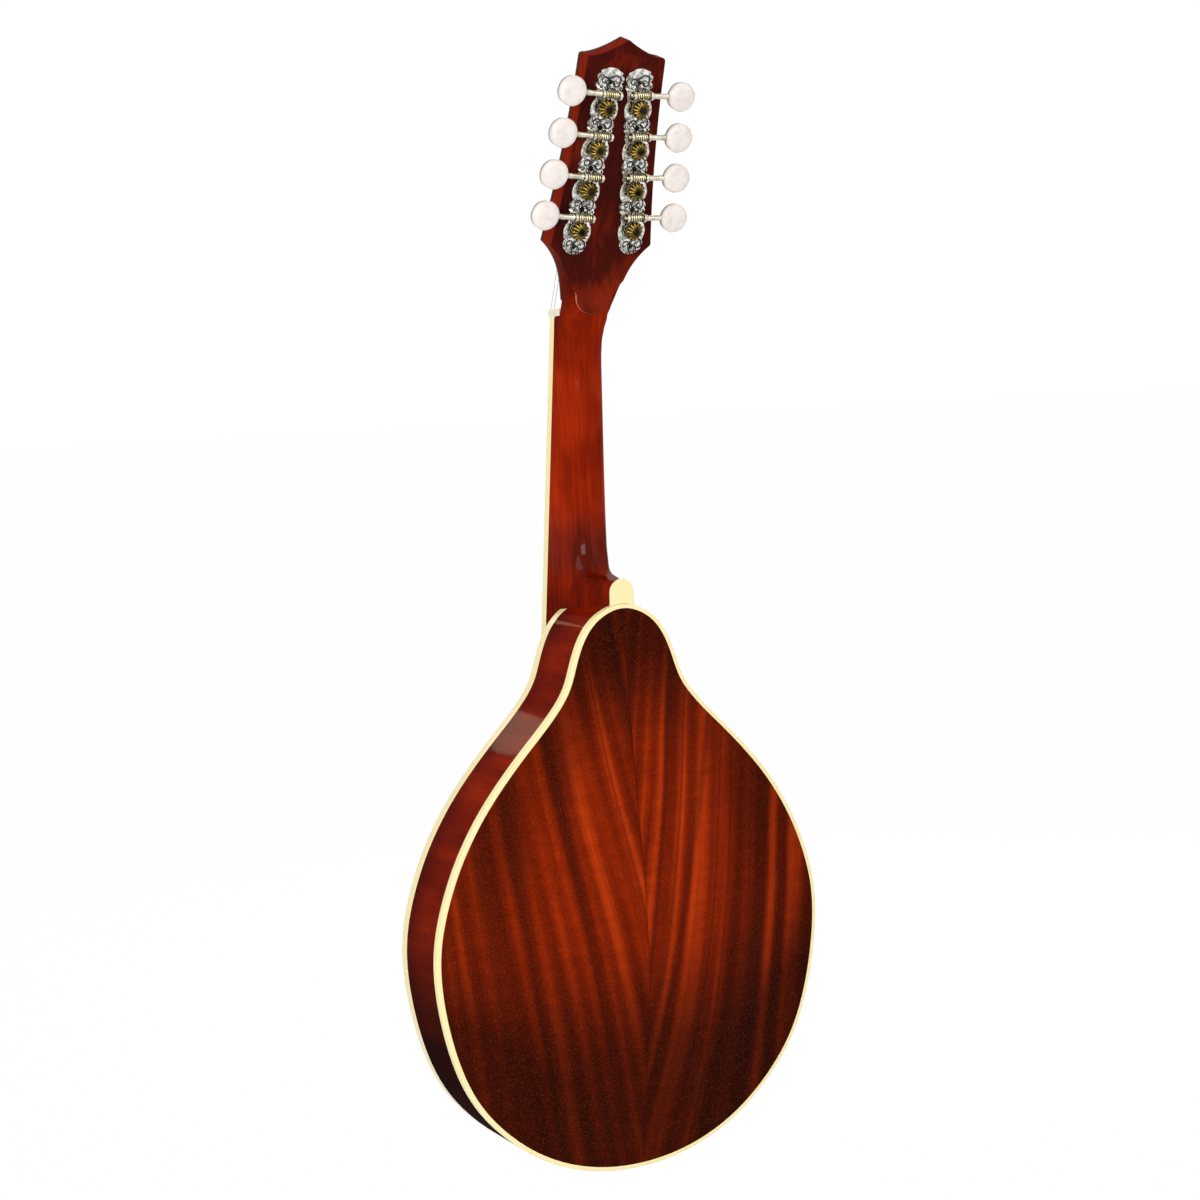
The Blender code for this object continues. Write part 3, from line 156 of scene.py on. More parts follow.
def edit_all(piece):
    choose(piece)
    bpy.ops.object.mode_set(mode="EDIT")
    bpy.ops.mesh.select_all(action="SELECT")


def close_up(piece, capped=True, angle=35):
    """Merge the seams, close open ends, turn the faces outwards and smooth the shading."""
    edit_all(piece)
    bpy.ops.mesh.remove_doubles(threshold=2e-6)
    if capped:
        bpy.ops.mesh.fill_holes(sides=0)
    bpy.ops.mesh.normals_make_consistent(inside=False)
    bpy.ops.object.mode_set(mode="OBJECT")
    bpy.ops.object.shade_smooth_by_angle(angle=radians(angle))
    return piece


def sheet(name, columns, rows, place, capped=True, angle=35):
    """A grid whose points are placed by a rule of two shares, closed where its sides meet."""
    piece = primitive(name, bpy.ops.mesh.primitive_grid_add, x_subdivisions=columns, y_subdivisions=rows,
                      size=2)
    for vertex in piece.data.vertices:
        vertex.co = place((vertex.co.x + 1) / 2, (vertex.co.y + 1) / 2)
    return close_up(piece, capped, angle)


def loft(name, loops, angle=35):
    """A closed solid through loops of points of one count."""
    count, last = len(loops[0]), len(loops) - 1

    def place(u, v):
        return loops[round(v * last)][round(u * count) % count]

    return sheet(name, count, last, place, True, angle)


def slab(name, outline, low, high, bevel=0.0, segments=3, angle=35):
    """A flat solid between two copies of an outline; low and high turn an outline point into a place."""
    piece = loft(name, [[low(*point) for point in outline], [high(*point) for point in outline]], angle)
    if bevel:
        bevel_edges(piece, bevel, segments)
        close_up(piece, False, angle)
    return piece


def bevel_edges(piece, width, segments=2, angle=40):
    """Round the sharp edges."""
    choose(piece)
    rounder = piece.modifiers.new("rounding", "BEVEL")
    rounder.width = width
    rounder.segments = segments
    rounder.limit_method = "ANGLE"
    rounder.angle_limit = radians(angle)
    bpy.ops.object.modifier_apply(modifier=rounder.name)
    return piece


def turned(name, profile, sides=32, angle=35):
    """A solid of revolution about Z: a disc, extruded and resized up its profile of (radius, height)."""
    piece = primitive(name, bpy.ops.mesh.primitive_circle_add, vertices=sides, radius=profile[0][0],
                      fill_type="NGON", location=(0, 0, profile[0][1]))
    bpy.ops.object.transform_apply(location=True)
    edit_all(piece)
    bpy.ops.mesh.flip_normals()
    for (radius, height), (wider, higher) in zip(profile, profile[1:]):
        bpy.ops.mesh.extrude_region_move(TRANSFORM_OT_translate={"value": (0, 0, higher - height)})
        share = wider / radius
        bpy.ops.transform.resize(value=(share, share, 1), center_override=(0, 0, higher))
    bpy.ops.object.mode_set(mode="OBJECT")
    return close_up(piece, False, angle)


def tube(name, path, radius, sides=12):
    """A round bar along a path; the radius may be a rule of the share along it."""
    path = [Vector(point) for point in path]
    last = len(path) - 1
    tangents = [(path[min(i + 1, last)] - path[max(i - 1, 0)]).normalized() for i in range(last + 1)]
    side = tangents[0].orthogonal().normalized()
    loops = []
    for i, (point, tangent) in enumerate(zip(path, tangents)):
        side = (side - tangent * side.dot(tangent)).normalized()
        other = tangent.cross(side)
        wide = radius(i / last) if callable(radius) else radius
        loops.append([point + wide * (side * cos(tau * k / sides) + other * sin(tau * k / sides))
                      for k in range(sides)])
    return loft(name, loops)


def moved(piece, matrix):
    piece.data.transform(matrix)
    return piece


def copy_of(piece, name, matrix):
    """A copy with its own mesh, in its place."""
    copy = piece.copy()
    copy.data = piece.data.copy()
    copy.name = name
    copy.data.name = name
    bpy.context.scene.collection.objects.link(copy)
    copy.data.transform(matrix)
    return copy


def joined(name, pieces):
    clear_choice()
    for piece in pieces:
        piece.select_set(True)
    bpy.context.view_layer.objects.active = pieces[0]
    bpy.ops.object.join()
    whole = bpy.context.active_object
    whole.name = name
    whole.data.name = name
    return whole


def discard(*pieces):
    clear_choice()
    for piece in pieces:
        bpy.data.objects.remove(piece)


def finished(piece, look, *nodes, body="root"):
    """Give a piece the material of its look, which holds a material and a slot's name, and its body, and hide
    the CAD nodes it stands for.
    """
    material, slot = look
    piece.data.materials.clear()
    piece.data.materials.append(material)
    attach(piece, body)
    if nodes:
        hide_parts(*nodes)
    return piece


def dressed(look, *nodes):
    """Give kept CAD nodes a finish."""
    for name in nodes:
        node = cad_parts[name]
        if not node.material_slots:
            node.data.materials.append(look[0])
        for holder in node.material_slots:
            holder.material = look[0]


def smoothstep(value):
    value = min(1.0, max(0.0, value))
    return value * value * (3 - 2 * value)


def eased(rows, place):
    """Values between rows of (place, values...), on a cubic that never overshoots."""
    rows = sorted(rows)
    place = min(max(place, rows[0][0]), rows[-1][0])
    index = max(i for i in range(len(rows) - 1) if rows[i][0] <= place)

    def rate(i, k):
        return (rows[i][k] - rows[i - 1][k]) / (rows[i][0] - rows[i - 1][0])

    def slope(i, k):
        before = rate(max(i, 1), k)
        after = rate(min(i + 1, len(rows) - 1), k)
        return 0.0 if before * after <= 0 else 2 * before * after / (before + after)

    low, high = rows[index], rows[index + 1]
    span = high[0] - low[0]
    t = (place - low[0]) / span
    values = []
    for k in range(1, len(low)):
        a, b = slope(index, k) * span, slope(index + 1, k) * span
        values.append((2 * t ** 3 - 3 * t ** 2 + 1) * low[k] + (t ** 3 - 2 * t ** 2 + t) * a
                      + (3 * t ** 2 - 2 * t ** 3) * high[k] + (t ** 3 - t ** 2) * b)
    return values


def body_outline():
    """Closed outline of the body as (x, z), from the tail up the treble side."""
    right = [(HALF_WIDTH * across, TAIL_Z + BODY_LENGTH * along) for across, along in OUTLINE_SHAPE]
    right.append((0.0, BODY_TOP_Z))
    knots = [Vector(point) for point in right + [(-x, z) for x, z in right[-2:0:-1]]]
    loop = []
    for i in range(len(knots)):
        before, start, end, after = (knots[(i + k - 1) % len(knots)] for k in range(4))
        for step in range(OUTLINE_STEPS):
            t = step / OUTLINE_STEPS
            bend, twist = 2 * before - 5 * start + 4 * end - after, 3 * start - before - 3 * end + after
            loop.append(0.5 * (2 * start + (end - before) * t + bend * t ** 2 + twist * t ** 3))
    once = relaxed(loop)
    return [2 * first - second for first, second in zip(once, relaxed(once))]


def relaxed(loop):
    """The closed loop with its kinks smoothed away."""
    for _ in range(RELAX_PASSES):
        loop = [(loop[i - 1] + 2 * point + loop[(i + 1) % len(loop)]) / 4 for i, point in enumerate(loop)]
    return loop


def inset(loop, distance):
    """The loop moved inwards; a negative distance moves it outwards."""
    out = []
    for i, point in enumerate(loop):
        along = (loop[(i + 1) % len(loop)] - loop[i - 1]).normalized()
        out.append(Vector((point.x - along.y * distance, point.y + along.x * distance)))
    return out


OUTLINE = body_outline()
ROUND = len(OUTLINE)
PLATE_OUTLINE = inset(OUTLINE, BINDING_WIDTH)
REACHES = sorted((atan2(p.y - WIDEST_Z, p.x), hypot(p.x, p.y - WIDEST_Z)) for p in PLATE_OUTLINE)
REACHES = [(REACHES[-1][0] - tau, REACHES[-1][1])] + REACHES + [(REACHES[0][0] + tau, REACHES[0][1])]


def edge_reach(turn):
    """Distance from the arch's centre to the plate's edge."""
    high = min(bisect(REACHES, (turn, inf)), len(REACHES) - 1)
    (a, near), (b, far) = REACHES[high - 1], REACHES[high]
    return near + (far - near) * (turn - a) / max(b - a, 1e-12)


def egg_reach(turn):
    length = EGG_SHARE * (BODY_TOP_Z - WIDEST_Z) if sin(turn) > 0 else WIDEST_Z - TAIL_Z
    return 1 / hypot(cos(turn) / HALF_WIDTH, sin(turn) / length)


def arch_rise(x, z):
    """Height of the arch at a point, as a share of its full height."""
    distance = hypot(x, z - WIDEST_Z)
    if distance < 1e-9:
        return 1.0
    turn = atan2(z - WIDEST_Z, x)
    egg, edge = egg_reach(turn), edge_reach(turn)
    bulge = edge - egg
    if abs(bulge) < 1e-6:
        share = distance / egg
    else:
        share = (-egg + sqrt(max(0.0, egg ** 2 + 4 * bulge * distance))) / (2 * bulge)
    return smoothstep(1 - share) ** ARCH_FULLNESS


def top_y(x, z):
    return FRONT_EDGE_Y - TOP_ARCH * arch_rise(x, z)


def back_y(x, z):
    return BACK_EDGE_Y + BACK_ARCH * arch_rise(x, z)


def board_y(z):
    """Front face of the fingerboard."""
    return BOARD_FRONT_Y - NECK_SLOPE * (NUT_Z - z)


def board_half(z):
    share = (NUT_Z - z) / (NUT_Z - BODY_TOP_Z)
    return (BOARD_NUT_WIDTH + (BOARD_BODY_WIDTH - BOARD_NUT_WIDTH) * share) / 2


def fret_z(number):
    return NUT_Z - SCALE_LENGTH * (1 - 2 ** (-number / 12)) * cos(NECK_ANGLE)


BOARD_END_Z = fret_z(BOARD_FRETS) - BOARD_AFTER_FRET
HOLE_CENTRE_Z = BOARD_END_Z - HOLE_BELOW_BOARD - HOLE_LENGTH / 2


def neck_seat(z):
    return board_y(z) + BOARD_THICKNESS


def head_point(x, rise, height):
    """Place on the headstock: across, up along its back face, above that face."""
    y = HEAD_BACK_Y + rise * sin(HEAD_PITCH) + height * cos(HEAD_PITCH)
    z = HEAD_ROOT_Z + rise * cos(HEAD_PITCH) - height * sin(HEAD_PITCH)
    return Vector((x, y, z))


def head_thickness(rise):
    return HEAD_ROOT_THICKNESS - rise * tan(HEAD_TAPER)


def on_front(height):
    """A rule that places outline points on the headstock, at a height counted from its front face."""
    return lambda x, rise: head_point(x, rise, height - head_thickness(rise))


def head_back_y(z):
    return HEAD_BACK_Y + (z - HEAD_ROOT_Z) * tan(HEAD_PITCH)


def head_wood_front_y(z):
    rise = (z - HEAD_ROOT_Z) / cos(HEAD_PITCH)
    return head_back_y(z) - (head_thickness(rise) - HEADPLATE_THICKNESS) / cos(HEAD_PITCH)


def flare_half(z):
    """Half width of the neck where it widens into the headstock's lower corners."""
    root = board_half(NUT_Z)
    corner_z = head_point(0, HEAD_CORNER_RISE, 0).z
    share = max(0.0, (z - HEAD_ROOT_Z) / (corner_z - HEAD_ROOT_Z))
    return root + (HEAD_CORNER_WIDTH / 2 - root) * (0.45 * share + 0.55 * share ** 3.5)


def head_frame(x, rise):
    """Frame on the headstock's back face: local X to the right seen from the back, Y up, Z out."""
    across = Vector((-1, 0, 0))
    up = Vector((0, sin(HEAD_PITCH), cos(HEAD_PITCH)))
    placed = Matrix((across, up, across.cross(up))).transposed().to_4x4()
    placed.translation = head_point(x, rise, 0)
    return placed


def tuner_place(side, index):
    x = side * (TUNER_FIRST_X + index * TUNER_SPACING * sin(TUNER_TAPER))
    return x, TUNER_FIRST_RISE - index * TUNER_SPACING * cos(TUNER_TAPER)


def post_frame(side, index):
    return head_frame(*tuner_place(side, index))


def plate_frame(side):
    return post_frame(side, 0) @ Matrix.Rotation(-side * TUNER_TAPER, 4, "Z")


def worm_frame(side, index):
    """Frame on a worm's axis: local X runs out to the button, Z away from the headstock."""
    placed = post_frame(side, index) @ Matrix.Rotation(-side * TUNER_TAPER, 4, "Z")
    placed = placed @ Matrix.Translation((0, WORM_OFFSET, WORM_HEIGHT))
    if side > 0:
        return placed @ Matrix.Rotation(pi + TUNER_TAPER - WORM_TILT_TREBLE, 4, "Z")
    return placed @ Matrix.Rotation(WORM_TILT_BASS - TUNER_TAPER, 4, "Z")


class Value:
    """A shader socket with the operators of arithmetic."""

    def __init__(self, net, socket):
        self.net = net
        self.socket = socket

    def math(self, operation, *others):
        inputs = {0: self}
        for index, other in enumerate(others):
            inputs[index + 1] = other
        return self.net.node("ShaderNodeMath", {"operation": operation}, inputs)

    def __add__(self, other):
        return self.math("ADD", other)

    __radd__ = __add__

    def __mul__(self, other):
        return self.math("MULTIPLY", other)

    __rmul__ = __mul__

    def __sub__(self, other):
        return self.math("SUBTRACT", other)

    def __rsub__(self, other):
        return self.net.node("ShaderNodeMath", {"operation": "SUBTRACT"}, {0: other, 1: self})

    def __truediv__(self, other):
        return self.math("DIVIDE", other)

    def __pow__(self, other):
        return self.math("POWER", other)

    def held(self, low=0.0, high=1.0):
        """The value kept between two limits."""
        return self.math("MAXIMUM", low).math("MINIMUM", high)

    def step(self, start, stop):
        """0 at start and 1 at stop, eased."""
        return self.net.node("ShaderNodeMapRange", {"interpolation_type": "SMOOTHSTEP"},
                             {"Value": self, "From Min": start, "From Max": stop})


class Finish:
    """A material, or the studio's world, under construction."""

    def __init__(self, name, world=False):
        self.block = (bpy.data.worlds if world else bpy.data.materials).new(name)
        self.block.use_nodes = True
        self.tree = self.block.node_tree
        self.tree.nodes.clear()
        self.output = self.tree.nodes.new("ShaderNodeOutputWorld" if world else "ShaderNodeOutputMaterial")

    def node(self, kind, settings=None, inputs=None, output=0):
        """One node: its type, its settings, the values or links of its sockets, and the output to use."""
        made = self.tree.nodes.new(kind)
        for key, value in (settings or {}).items():
            if key == "stops":
                ramp = made.color_ramp
                for _ in value[2:]:
                    ramp.elements.new(0.5)
                for element, (position, tone) in zip(ramp.elements, value):
                    element.position = position
                    element.color = (*tone, 1.0)
            else:
                setattr(made, key, value)
        for key, value in (inputs or {}).items():
            socket = made.inputs[key]
            if isinstance(value, Value):
                self.tree.links.new(value.socket, socket)
            elif isinstance(value, (tuple, list, Vector)) and len(value) == 3 and socket.type == "RGBA":
                socket.default_value = (*value, 1.0)
            else:
                socket.default_value = value
        return Value(self, made.outputs[output])

    def place(self):
        """The three Object coordinates and the vector."""
        vector = self.node("ShaderNodeTexCoord", output="Object")
        return self.parts(vector) + (vector,)

    def surface(self):
        """Across and along on the piece's own map."""
        vector = self.node("ShaderNodeUVMap", {"uv_map": "own_map"}, output="UV")
        return self.parts(vector)[:2]

    def marked(self, name):
        """The value that mark() gave to the piece's points."""
        return self.node("ShaderNodeAttribute", {"attribute_name": name}, output=2)

    def parts(self, vector):
        split = self.node("ShaderNodeSeparateXYZ", None, {"Vector": vector})
        return tuple(Value(self, split.socket.node.outputs[k]) for k in range(3))

    def vector(self, x, y, z):
        return self.node("ShaderNodeCombineXYZ", None, {"X": x, "Y": y, "Z": z})

    def noise(self, vector, scale=1.0, detail=2.0, roughness=0.5):
        return self.node("ShaderNodeTexNoise", {"noise_dimensions": "3D"},
                         {"Vector": vector, "Scale": scale, "Detail": detail, "Roughness": roughness})

    def grain(self, vector, stretch, detail=2.0):
        """Noise, finer along each axis by its own number."""
        stretched = self.node("ShaderNodeVectorMath", {"operation": "MULTIPLY"}, {0: vector, 1: stretch})
        return self.noise(stretched, 1.0, detail)

    def wave(self, value):
        """A soft wave between 0 and 1, one period for each whole number."""
        return (value * tau).math("SINE") * 0.5 + 0.5

    def ramp(self, value, *stops):
        return self.node("ShaderNodeValToRGB", {"stops": stops}, {"Fac": value})

    def mix(self, share, first, second, blend="MIX"):
        return self.node("ShaderNodeMix", {"data_type": "RGBA", "blend_type": blend},
                         {0: share, 6: first, 7: second}, 2)

    def bump(self, height, strength, distance=0.0005):
        return self.node("ShaderNodeBump", None,
                         {"Height": height, "Strength": strength, "Distance": distance})

    def seen(self):
        """1 for the rays that show the background, 0 for those that light the object."""
        rays = self.node("ShaderNodeLightPath").socket.node.outputs
        camera, glossy, through = (Value(self, rays[f"Is {kind} Ray"])
                                   for kind in ("Camera", "Glossy", "Transmission"))
        return camera.math("MAXIMUM", glossy).math("MAXIMUM", through)

    def ended(self, shader):
        """Join the last shader to the output."""
        self.tree.links.new(shader.socket, self.output.inputs["Surface"])
        return self.block

    def made(self, tone, roughness=0.4, metallic=0.0, normal=None, **constants):
        """The material of one shader; constants are set on the shader's own sockets."""
        inputs = {"Base Color": tone, "Roughness": roughness, "Metallic": metallic}
        if normal is not None:
            inputs["Normal"] = normal
        for key, value in constants.items():
            inputs[key.replace("_", " ")] = value
        return self.ended(self.node("ShaderNodeBsdfPrincipled", None, inputs))


def colour(red, green, blue):
    """A colour as seen on a screen, 0 to 255, in the shader's terms."""
    out = []
    for part in (red, green, blue):
        part = part / 255
        out.append(part / 12.92 if part <= 0.04045 else ((part + 0.055) / 1.055) ** 2.4)
    return tuple(out)


def lacquered(finish, tone, grain, coat=THIN_COAT):
    """Clear gloss lacquer over stained wood."""
    ripple = finish.noise(finish.place()[3], 90.0, 1.0)
    normal = finish.bump(ripple * 0.6 + grain * 0.4, 0.05, 0.0004)
    return finish.made(tone, 0.45 + grain * 0.1, 0.0, normal, Specular_IOR_Level=0.0, Coat_Weight=coat,
                       Coat_Roughness=0.05)


def back_finish():
    """Two mirrored halves of ribboned wood, stained red-brown and darker towards tail, tip and edge."""
    f = Finish("back_ribbon")
    x, y, z, place = f.place()
    side = x.math("GREATER_THAN", 0.0)
    lean = (z + 0.33) * (0.20 - x.math("ABSOLUTE") * 0.9)
    sway = f.noise(f.vector(x * 8, side * 3.7, z * 8), 1.0, 1.0) - 0.5
    across = x.math("ABSOLUTE") - lean + sway * 0.006
    broad = f.noise(f.vector(across * 34 + side * 0.35, side * 0.4, z * 1.0), 1.0, 0.0)
    narrow = f.noise(f.vector(across * 118 + side * 0.5, side * 0.6 + 2.3, z * 1.7), 1.0, 0.0)
    fine = f.noise(f.vector(across * 430, side + 5.0, z * 7.0), 1.0, 2.0)
    mottle = f.noise(f.vector(x * 46, side * 9.0, z * 150), 1.0, 2.0)
    figure = broad * 0.14 + narrow * 0.62 + fine * 0.12 + mottle * 0.12
    tone = f.ramp(figure, (0.33, colour(70, 12, 0)), (0.46, colour(102, 21, 0)), (0.56, colour(132, 32, 2)),
                  (0.70, colour(182, 56, 9)))
    veins = f.noise(f.vector(across * 60 + side * 0.3, side * 0.5 + 7.0, z * 1.2), 1.0, 0.0) - 0.5
    tone = f.mix(veins.math("ABSOLUTE").step(0.045, 0.004) * 0.50, tone, colour(70, 16, 4))
    lower = z.step(-0.370, -0.470)
    upper = z.step(-0.285, -0.205)
    edge = y.step(BACK_EDGE_Y + 0.0055, BACK_EDGE_Y + 0.0002)
    shade = (lower * 0.92 + upper * 0.58 + edge * 0.40).held(0.0, 0.95)
    tone = f.mix(shade, tone, f.mix(1.0, tone, colour(104, 100, 130), "MULTIPLY"))
    fleck = f.grain(place, (2200, 2200, 1300), 1.0)
    pores = fleck.step(0.50, 0.75)
    glints = fleck.step(0.50, 0.30)
    tone = f.mix(pores * 0.35, tone, colour(60, 12, 3))
    tone = f.mix(glints * 0.10, tone, colour(220, 100, 40))
    seam = x.math("ABSOLUTE").step(0.0005, 0.0001)
    tone = f.mix(seam * 0.5, tone, colour(40, 8, 3))
    return lacquered(f, tone, pores)


def rim_finish():
    """Bent sides with the figure running across their depth, almost black by the tail."""
    f = Finish("rim_ribbon")
    y, z, place = f.place()[1:]
    curl = f.grain(place, (80, 10, 80))
    cloud = f.grain(place, (26, 12, 26))
    figure = curl * 0.55 + cloud * 0.45
    tone = f.ramp(figure, (0.34, colour(84, 13, 2)), (0.50, colour(116, 23, 3)), (0.68, colour(146, 36, 6)))
    front = y.step(FRONT_EDGE_Y + 0.026, FRONT_EDGE_Y + 0.008)
    tone = f.mix(front * 0.40, tone, colour(46, 6, 5))
    lower = z.step(-0.315, -0.465)
    tone = f.mix(lower * 0.94, tone, colour(18, 5, 4))
    pores = f.grain(place, (620, 140, 620)).step(0.52, 0.72)
    tone = f.mix(pores * 0.3, tone, colour(44, 8, 3))
    return lacquered(f, tone, pores, THIN_COAT - lower * 0.030)


def neck_finish(name, dark, middle, bright, side=None):
    """Stained wood with its grain along the neck; side, when given, names a painted lit tone for a slab's
    side faces, and the tongue's edge gets a painted highlight.
    """
    f = Finish(name)
    x, _, z, place = f.place()
    grain = f.grain(place, (420, 420, 22), 3.0)
    cloud = f.grain(place, (40, 40, 24))
    figure = cloud * 0.72 + grain * 0.28
    if side:
        figure = figure + z.step(0.018, -0.016) * 0.13
    else:
        figure = figure + z.step(-0.015, -0.06) * z.step(-0.168, -0.130) * 0.10
        # Darker towards the heel; the darkening at the nut is painted shade below the headstock's tongue.
        figure = figure - z.step(-0.140, -0.170) * 0.14 - z.step(-0.026, -0.008) * 0.16
    tone = f.ramp(figure, (0.32, dark), (0.52, middle), (0.74, bright))
    if side:
        # Painted light: the marked side faces above the flare take the lighter side tone, as if lit from the
        # side.
        edge = f.marked("side")
        rim = f.mix(grain, side, f.mix(1.0, side, colour(190, 170, 160), "MULTIPLY"))
        tone = f.mix(edge * z.step(0.004, 0.016), tone, rim)
        # Painted highlight along the tongue's edge.
        tone = f.mix(edge * z.step(-0.0100, -0.0125), tone, colour(214, 150, 118))
    pores = f.grain(place, (900, 900, 60)).step(0.54, 0.72)
    tone = f.mix(pores * 0.3, tone, dark)
    glass = z.step(-0.130, -0.154) * z.step(-0.182, -0.168) * x.step(-0.014, 0.006)
    return lacquered(f, tone, pores, THIN_COAT if side else glass * 0.09 + THIN_COAT)


def top_finish():
    """Stained spruce, its straight grain along the strings, with a ring round the hole."""
    f = Finish("top_spruce")
    x, y, z, place = f.place()
    drift = f.grain(place, (12, 4, 3))
    lines = f.wave(x / 0.0011 + drift * 2.0)
    cloud = f.grain(place, (18, 18, 5), 3.0)
    tone = f.ramp(cloud, (0.25, colour(168, 88, 28)), (0.75, colour(206, 124, 46)))
    tone = f.mix(lines * lines * 0.35, tone, colour(120, 56, 16))
    edge = y.step(FRONT_EDGE_Y - 0.0005, FRONT_EDGE_Y - 0.0090)
    tone = f.mix(edge, f.mix(1.0, tone, colour(120, 60, 40), "MULTIPLY"), tone)
    ring = ((x / (HOLE_WIDTH / 2)) ** 2.0 + ((z - HOLE_CENTRE_Z) / (HOLE_LENGTH / 2)) ** 2.0).math("SQRT")
    band = ring.step(1.16, 1.17) * ring.step(1.30, 1.29)
    line = ring.step(1.19, 1.20) * ring.step(1.27, 1.26)
    tone = f.mix(band, tone, colour(235, 225, 190))
    tone = f.mix(line, tone, colour(25, 18, 15))
    return lacquered(f, tone, lines * 0.3, 0.5)


def bare_finish():
    f = Finish("bare_spruce")
    place = f.place()[3]
    grain = f.grain(place, (60, 300, 60), 3.0)
    tone = f.ramp(grain, (0.3, colour(190, 150, 100)), (0.7, colour(222, 190, 142)))
    return f.made(tone, 0.65, 0.0, f.bump(grain, 0.3))


def cream_finish(name, tone, shade):
    """Grained cream plastic."""
    f = Finish(name)
    place = f.place()[3]
    grain = f.grain(place, (260, 1400, 260))
    cloud = f.noise(place, 35.0, 2.0)
    mixed = f.mix(grain * 0.4 + cloud * 0.4, tone, shade)
    return f.made(mixed, 0.22 + cloud * 0.08, 0.0, f.bump(grain, 0.04), Specular_IOR_Level=0.35)


def ebony_finish(name, gloss):
    f = Finish(name)
    place = f.place()[3]
    grain = f.grain(place, (700, 700, 30), 3.0)
    tone = f.ramp(grain, (0.35, colour(14, 11, 10)), (0.8, colour(44, 33, 28)))
    return f.made(tone, gloss + grain * 0.1, 0.0, f.bump(grain, 0.08), Specular_IOR_Level=0.3)


def metal_finish(name, tone, shade, rough=0.22, cut=None):
    """Plated metal with fine polishing marks and duller patches; cut names a painted shade colour for its
    marked grooves.
    """
    f = Finish(name)
    place = f.place()[3]
    marks = f.grain(place, (1500, 1500, 300))
    patch = f.noise(place, 260.0, 3.0)
    mixed = f.mix(patch.step(0.42, 0.66), tone, shade)
    gloss = rough + patch * 0.12
    # Painted shade: the marked grooves are darkened with the cut colour.
    if cut:
        groove = f.marked("groove")
        mixed = f.mix(groove, mixed, cut)
        gloss = gloss + groove * 0.25
    return f.made(mixed, gloss, 1.0, f.bump(marks, 0.05, 0.0002))


def engraved_finish():
    """Nickel with scrolls cut into it, the grooves dark; the piece's own map counts in tuner spacings."""
    f = Finish("engraved_nickel")
    across, along = f.surface()
    part = (along + 0.5).math("FRACT") - 0.5
    wander = f.noise(f.vector(across * 3.0, along * 3.0, 0.0), 1.3, 2.0) - 0.5
    # Middle across and along, arms and turns of each scroll
    scrolls = ((-0.16, 0.42, 1.0, 7.0), (0.16, 0.42, 1.0, 7.0), (0.0, 0.30, 2.0, 9.0),
               (-0.16, -0.38, 1.0, 8.0), (0.16, -0.38, 1.0, 8.0), (0.0, -0.46, 3.0, 7.0))
    total = None
    for middle_x, middle_y, arms, turns in scrolls:
        right = across - middle_x
        up = part - middle_y
        radius = (right * right + up * up).math("SQRT")
        turn = up.math("ARCTAN2", right)
        handed = -1 if middle_x > 0 else 1
        swirl = (turn * arms * handed + radius * (turns * tau) + wander * 2.5).math("COSINE")
        cut = swirl.step(0.45, 0.80) * radius.step(0.25, 0.16)
        total = cut if total is None else total.math("MAXIMUM", cut)
    leaf = f.node("ShaderNodeTexVoronoi", {"feature": "DISTANCE_TO_EDGE"},
                  {"Vector": f.vector(across * 8.0, along * 8.0, 0.0), "Scale": 1.0})
    quiet = part.math("ABSOLUTE").step(0.14, 0.22)
    groove = total.math("MAXIMUM", leaf.step(0.07, 0.02) * 0.8) * (quiet * 0.85 + 0.15)
    patch = f.noise(f.vector(across, along, 0.0), 9.0, 2.0)
    tone = f.mix(patch.step(0.38, 0.62), colour(242, 242, 238), colour(172, 170, 158))
    tone = f.mix(groove, tone, colour(30, 28, 26))
    normal = f.bump(1.0 - groove + patch * 0.5, 0.9, 0.0005)
    return f.made(tone, 0.22 + groove * 0.4, 1.0 - groove * 0.6, normal)


def pearl_finish():
    """Pearly plastic; a button's rim takes a painted grey shade."""
    f = Finish("pearl")
    place = f.place()[3]
    rim = f.marked("rim")
    cloud = f.noise(place, 240.0, 3.0)
    wash = f.noise(place, 70.0, 2.0)
    tone = f.ramp(cloud * 0.6 + wash * 0.4, (0.36, colour(226, 214, 210)), (0.5, colour(236, 228, 222)),
                  (0.66, colour(242, 234, 228)))
    # Painted shade: a grey line on the marked rim of each button.
    tone = f.mix(rim, tone, colour(128, 130, 132))
    return f.made(tone, 0.16 + cloud * 0.06, 0.0, f.bump(cloud, 0.03), Specular_IOR_Level=0.2)


def wound_finish():
    """Bronze wire wound on a core."""
    f = Finish("wound_bronze")
    z, place = f.place()[2:]
    turns = f.wave(z / 0.00028)
    patch = f.noise(place, 300.0, 2.0)
    tone = f.mix(turns, colour(96, 60, 26), f.mix(patch, colour(214, 160, 92), colour(186, 128, 66)))
    return f.made(tone, 0.3, 1.0, f.bump(turns, 0.6, 0.0001))


# Looks, each a material and its slot
BACK = back_finish(), "stained_wood"
RIM = rim_finish(), "stained_wood"
TOP = top_finish(), "top_wood"
NECK = neck_finish("neck_wood", colour(84, 13, 0), colour(130, 28, 3), colour(168, 43, 6)), "stained_wood"
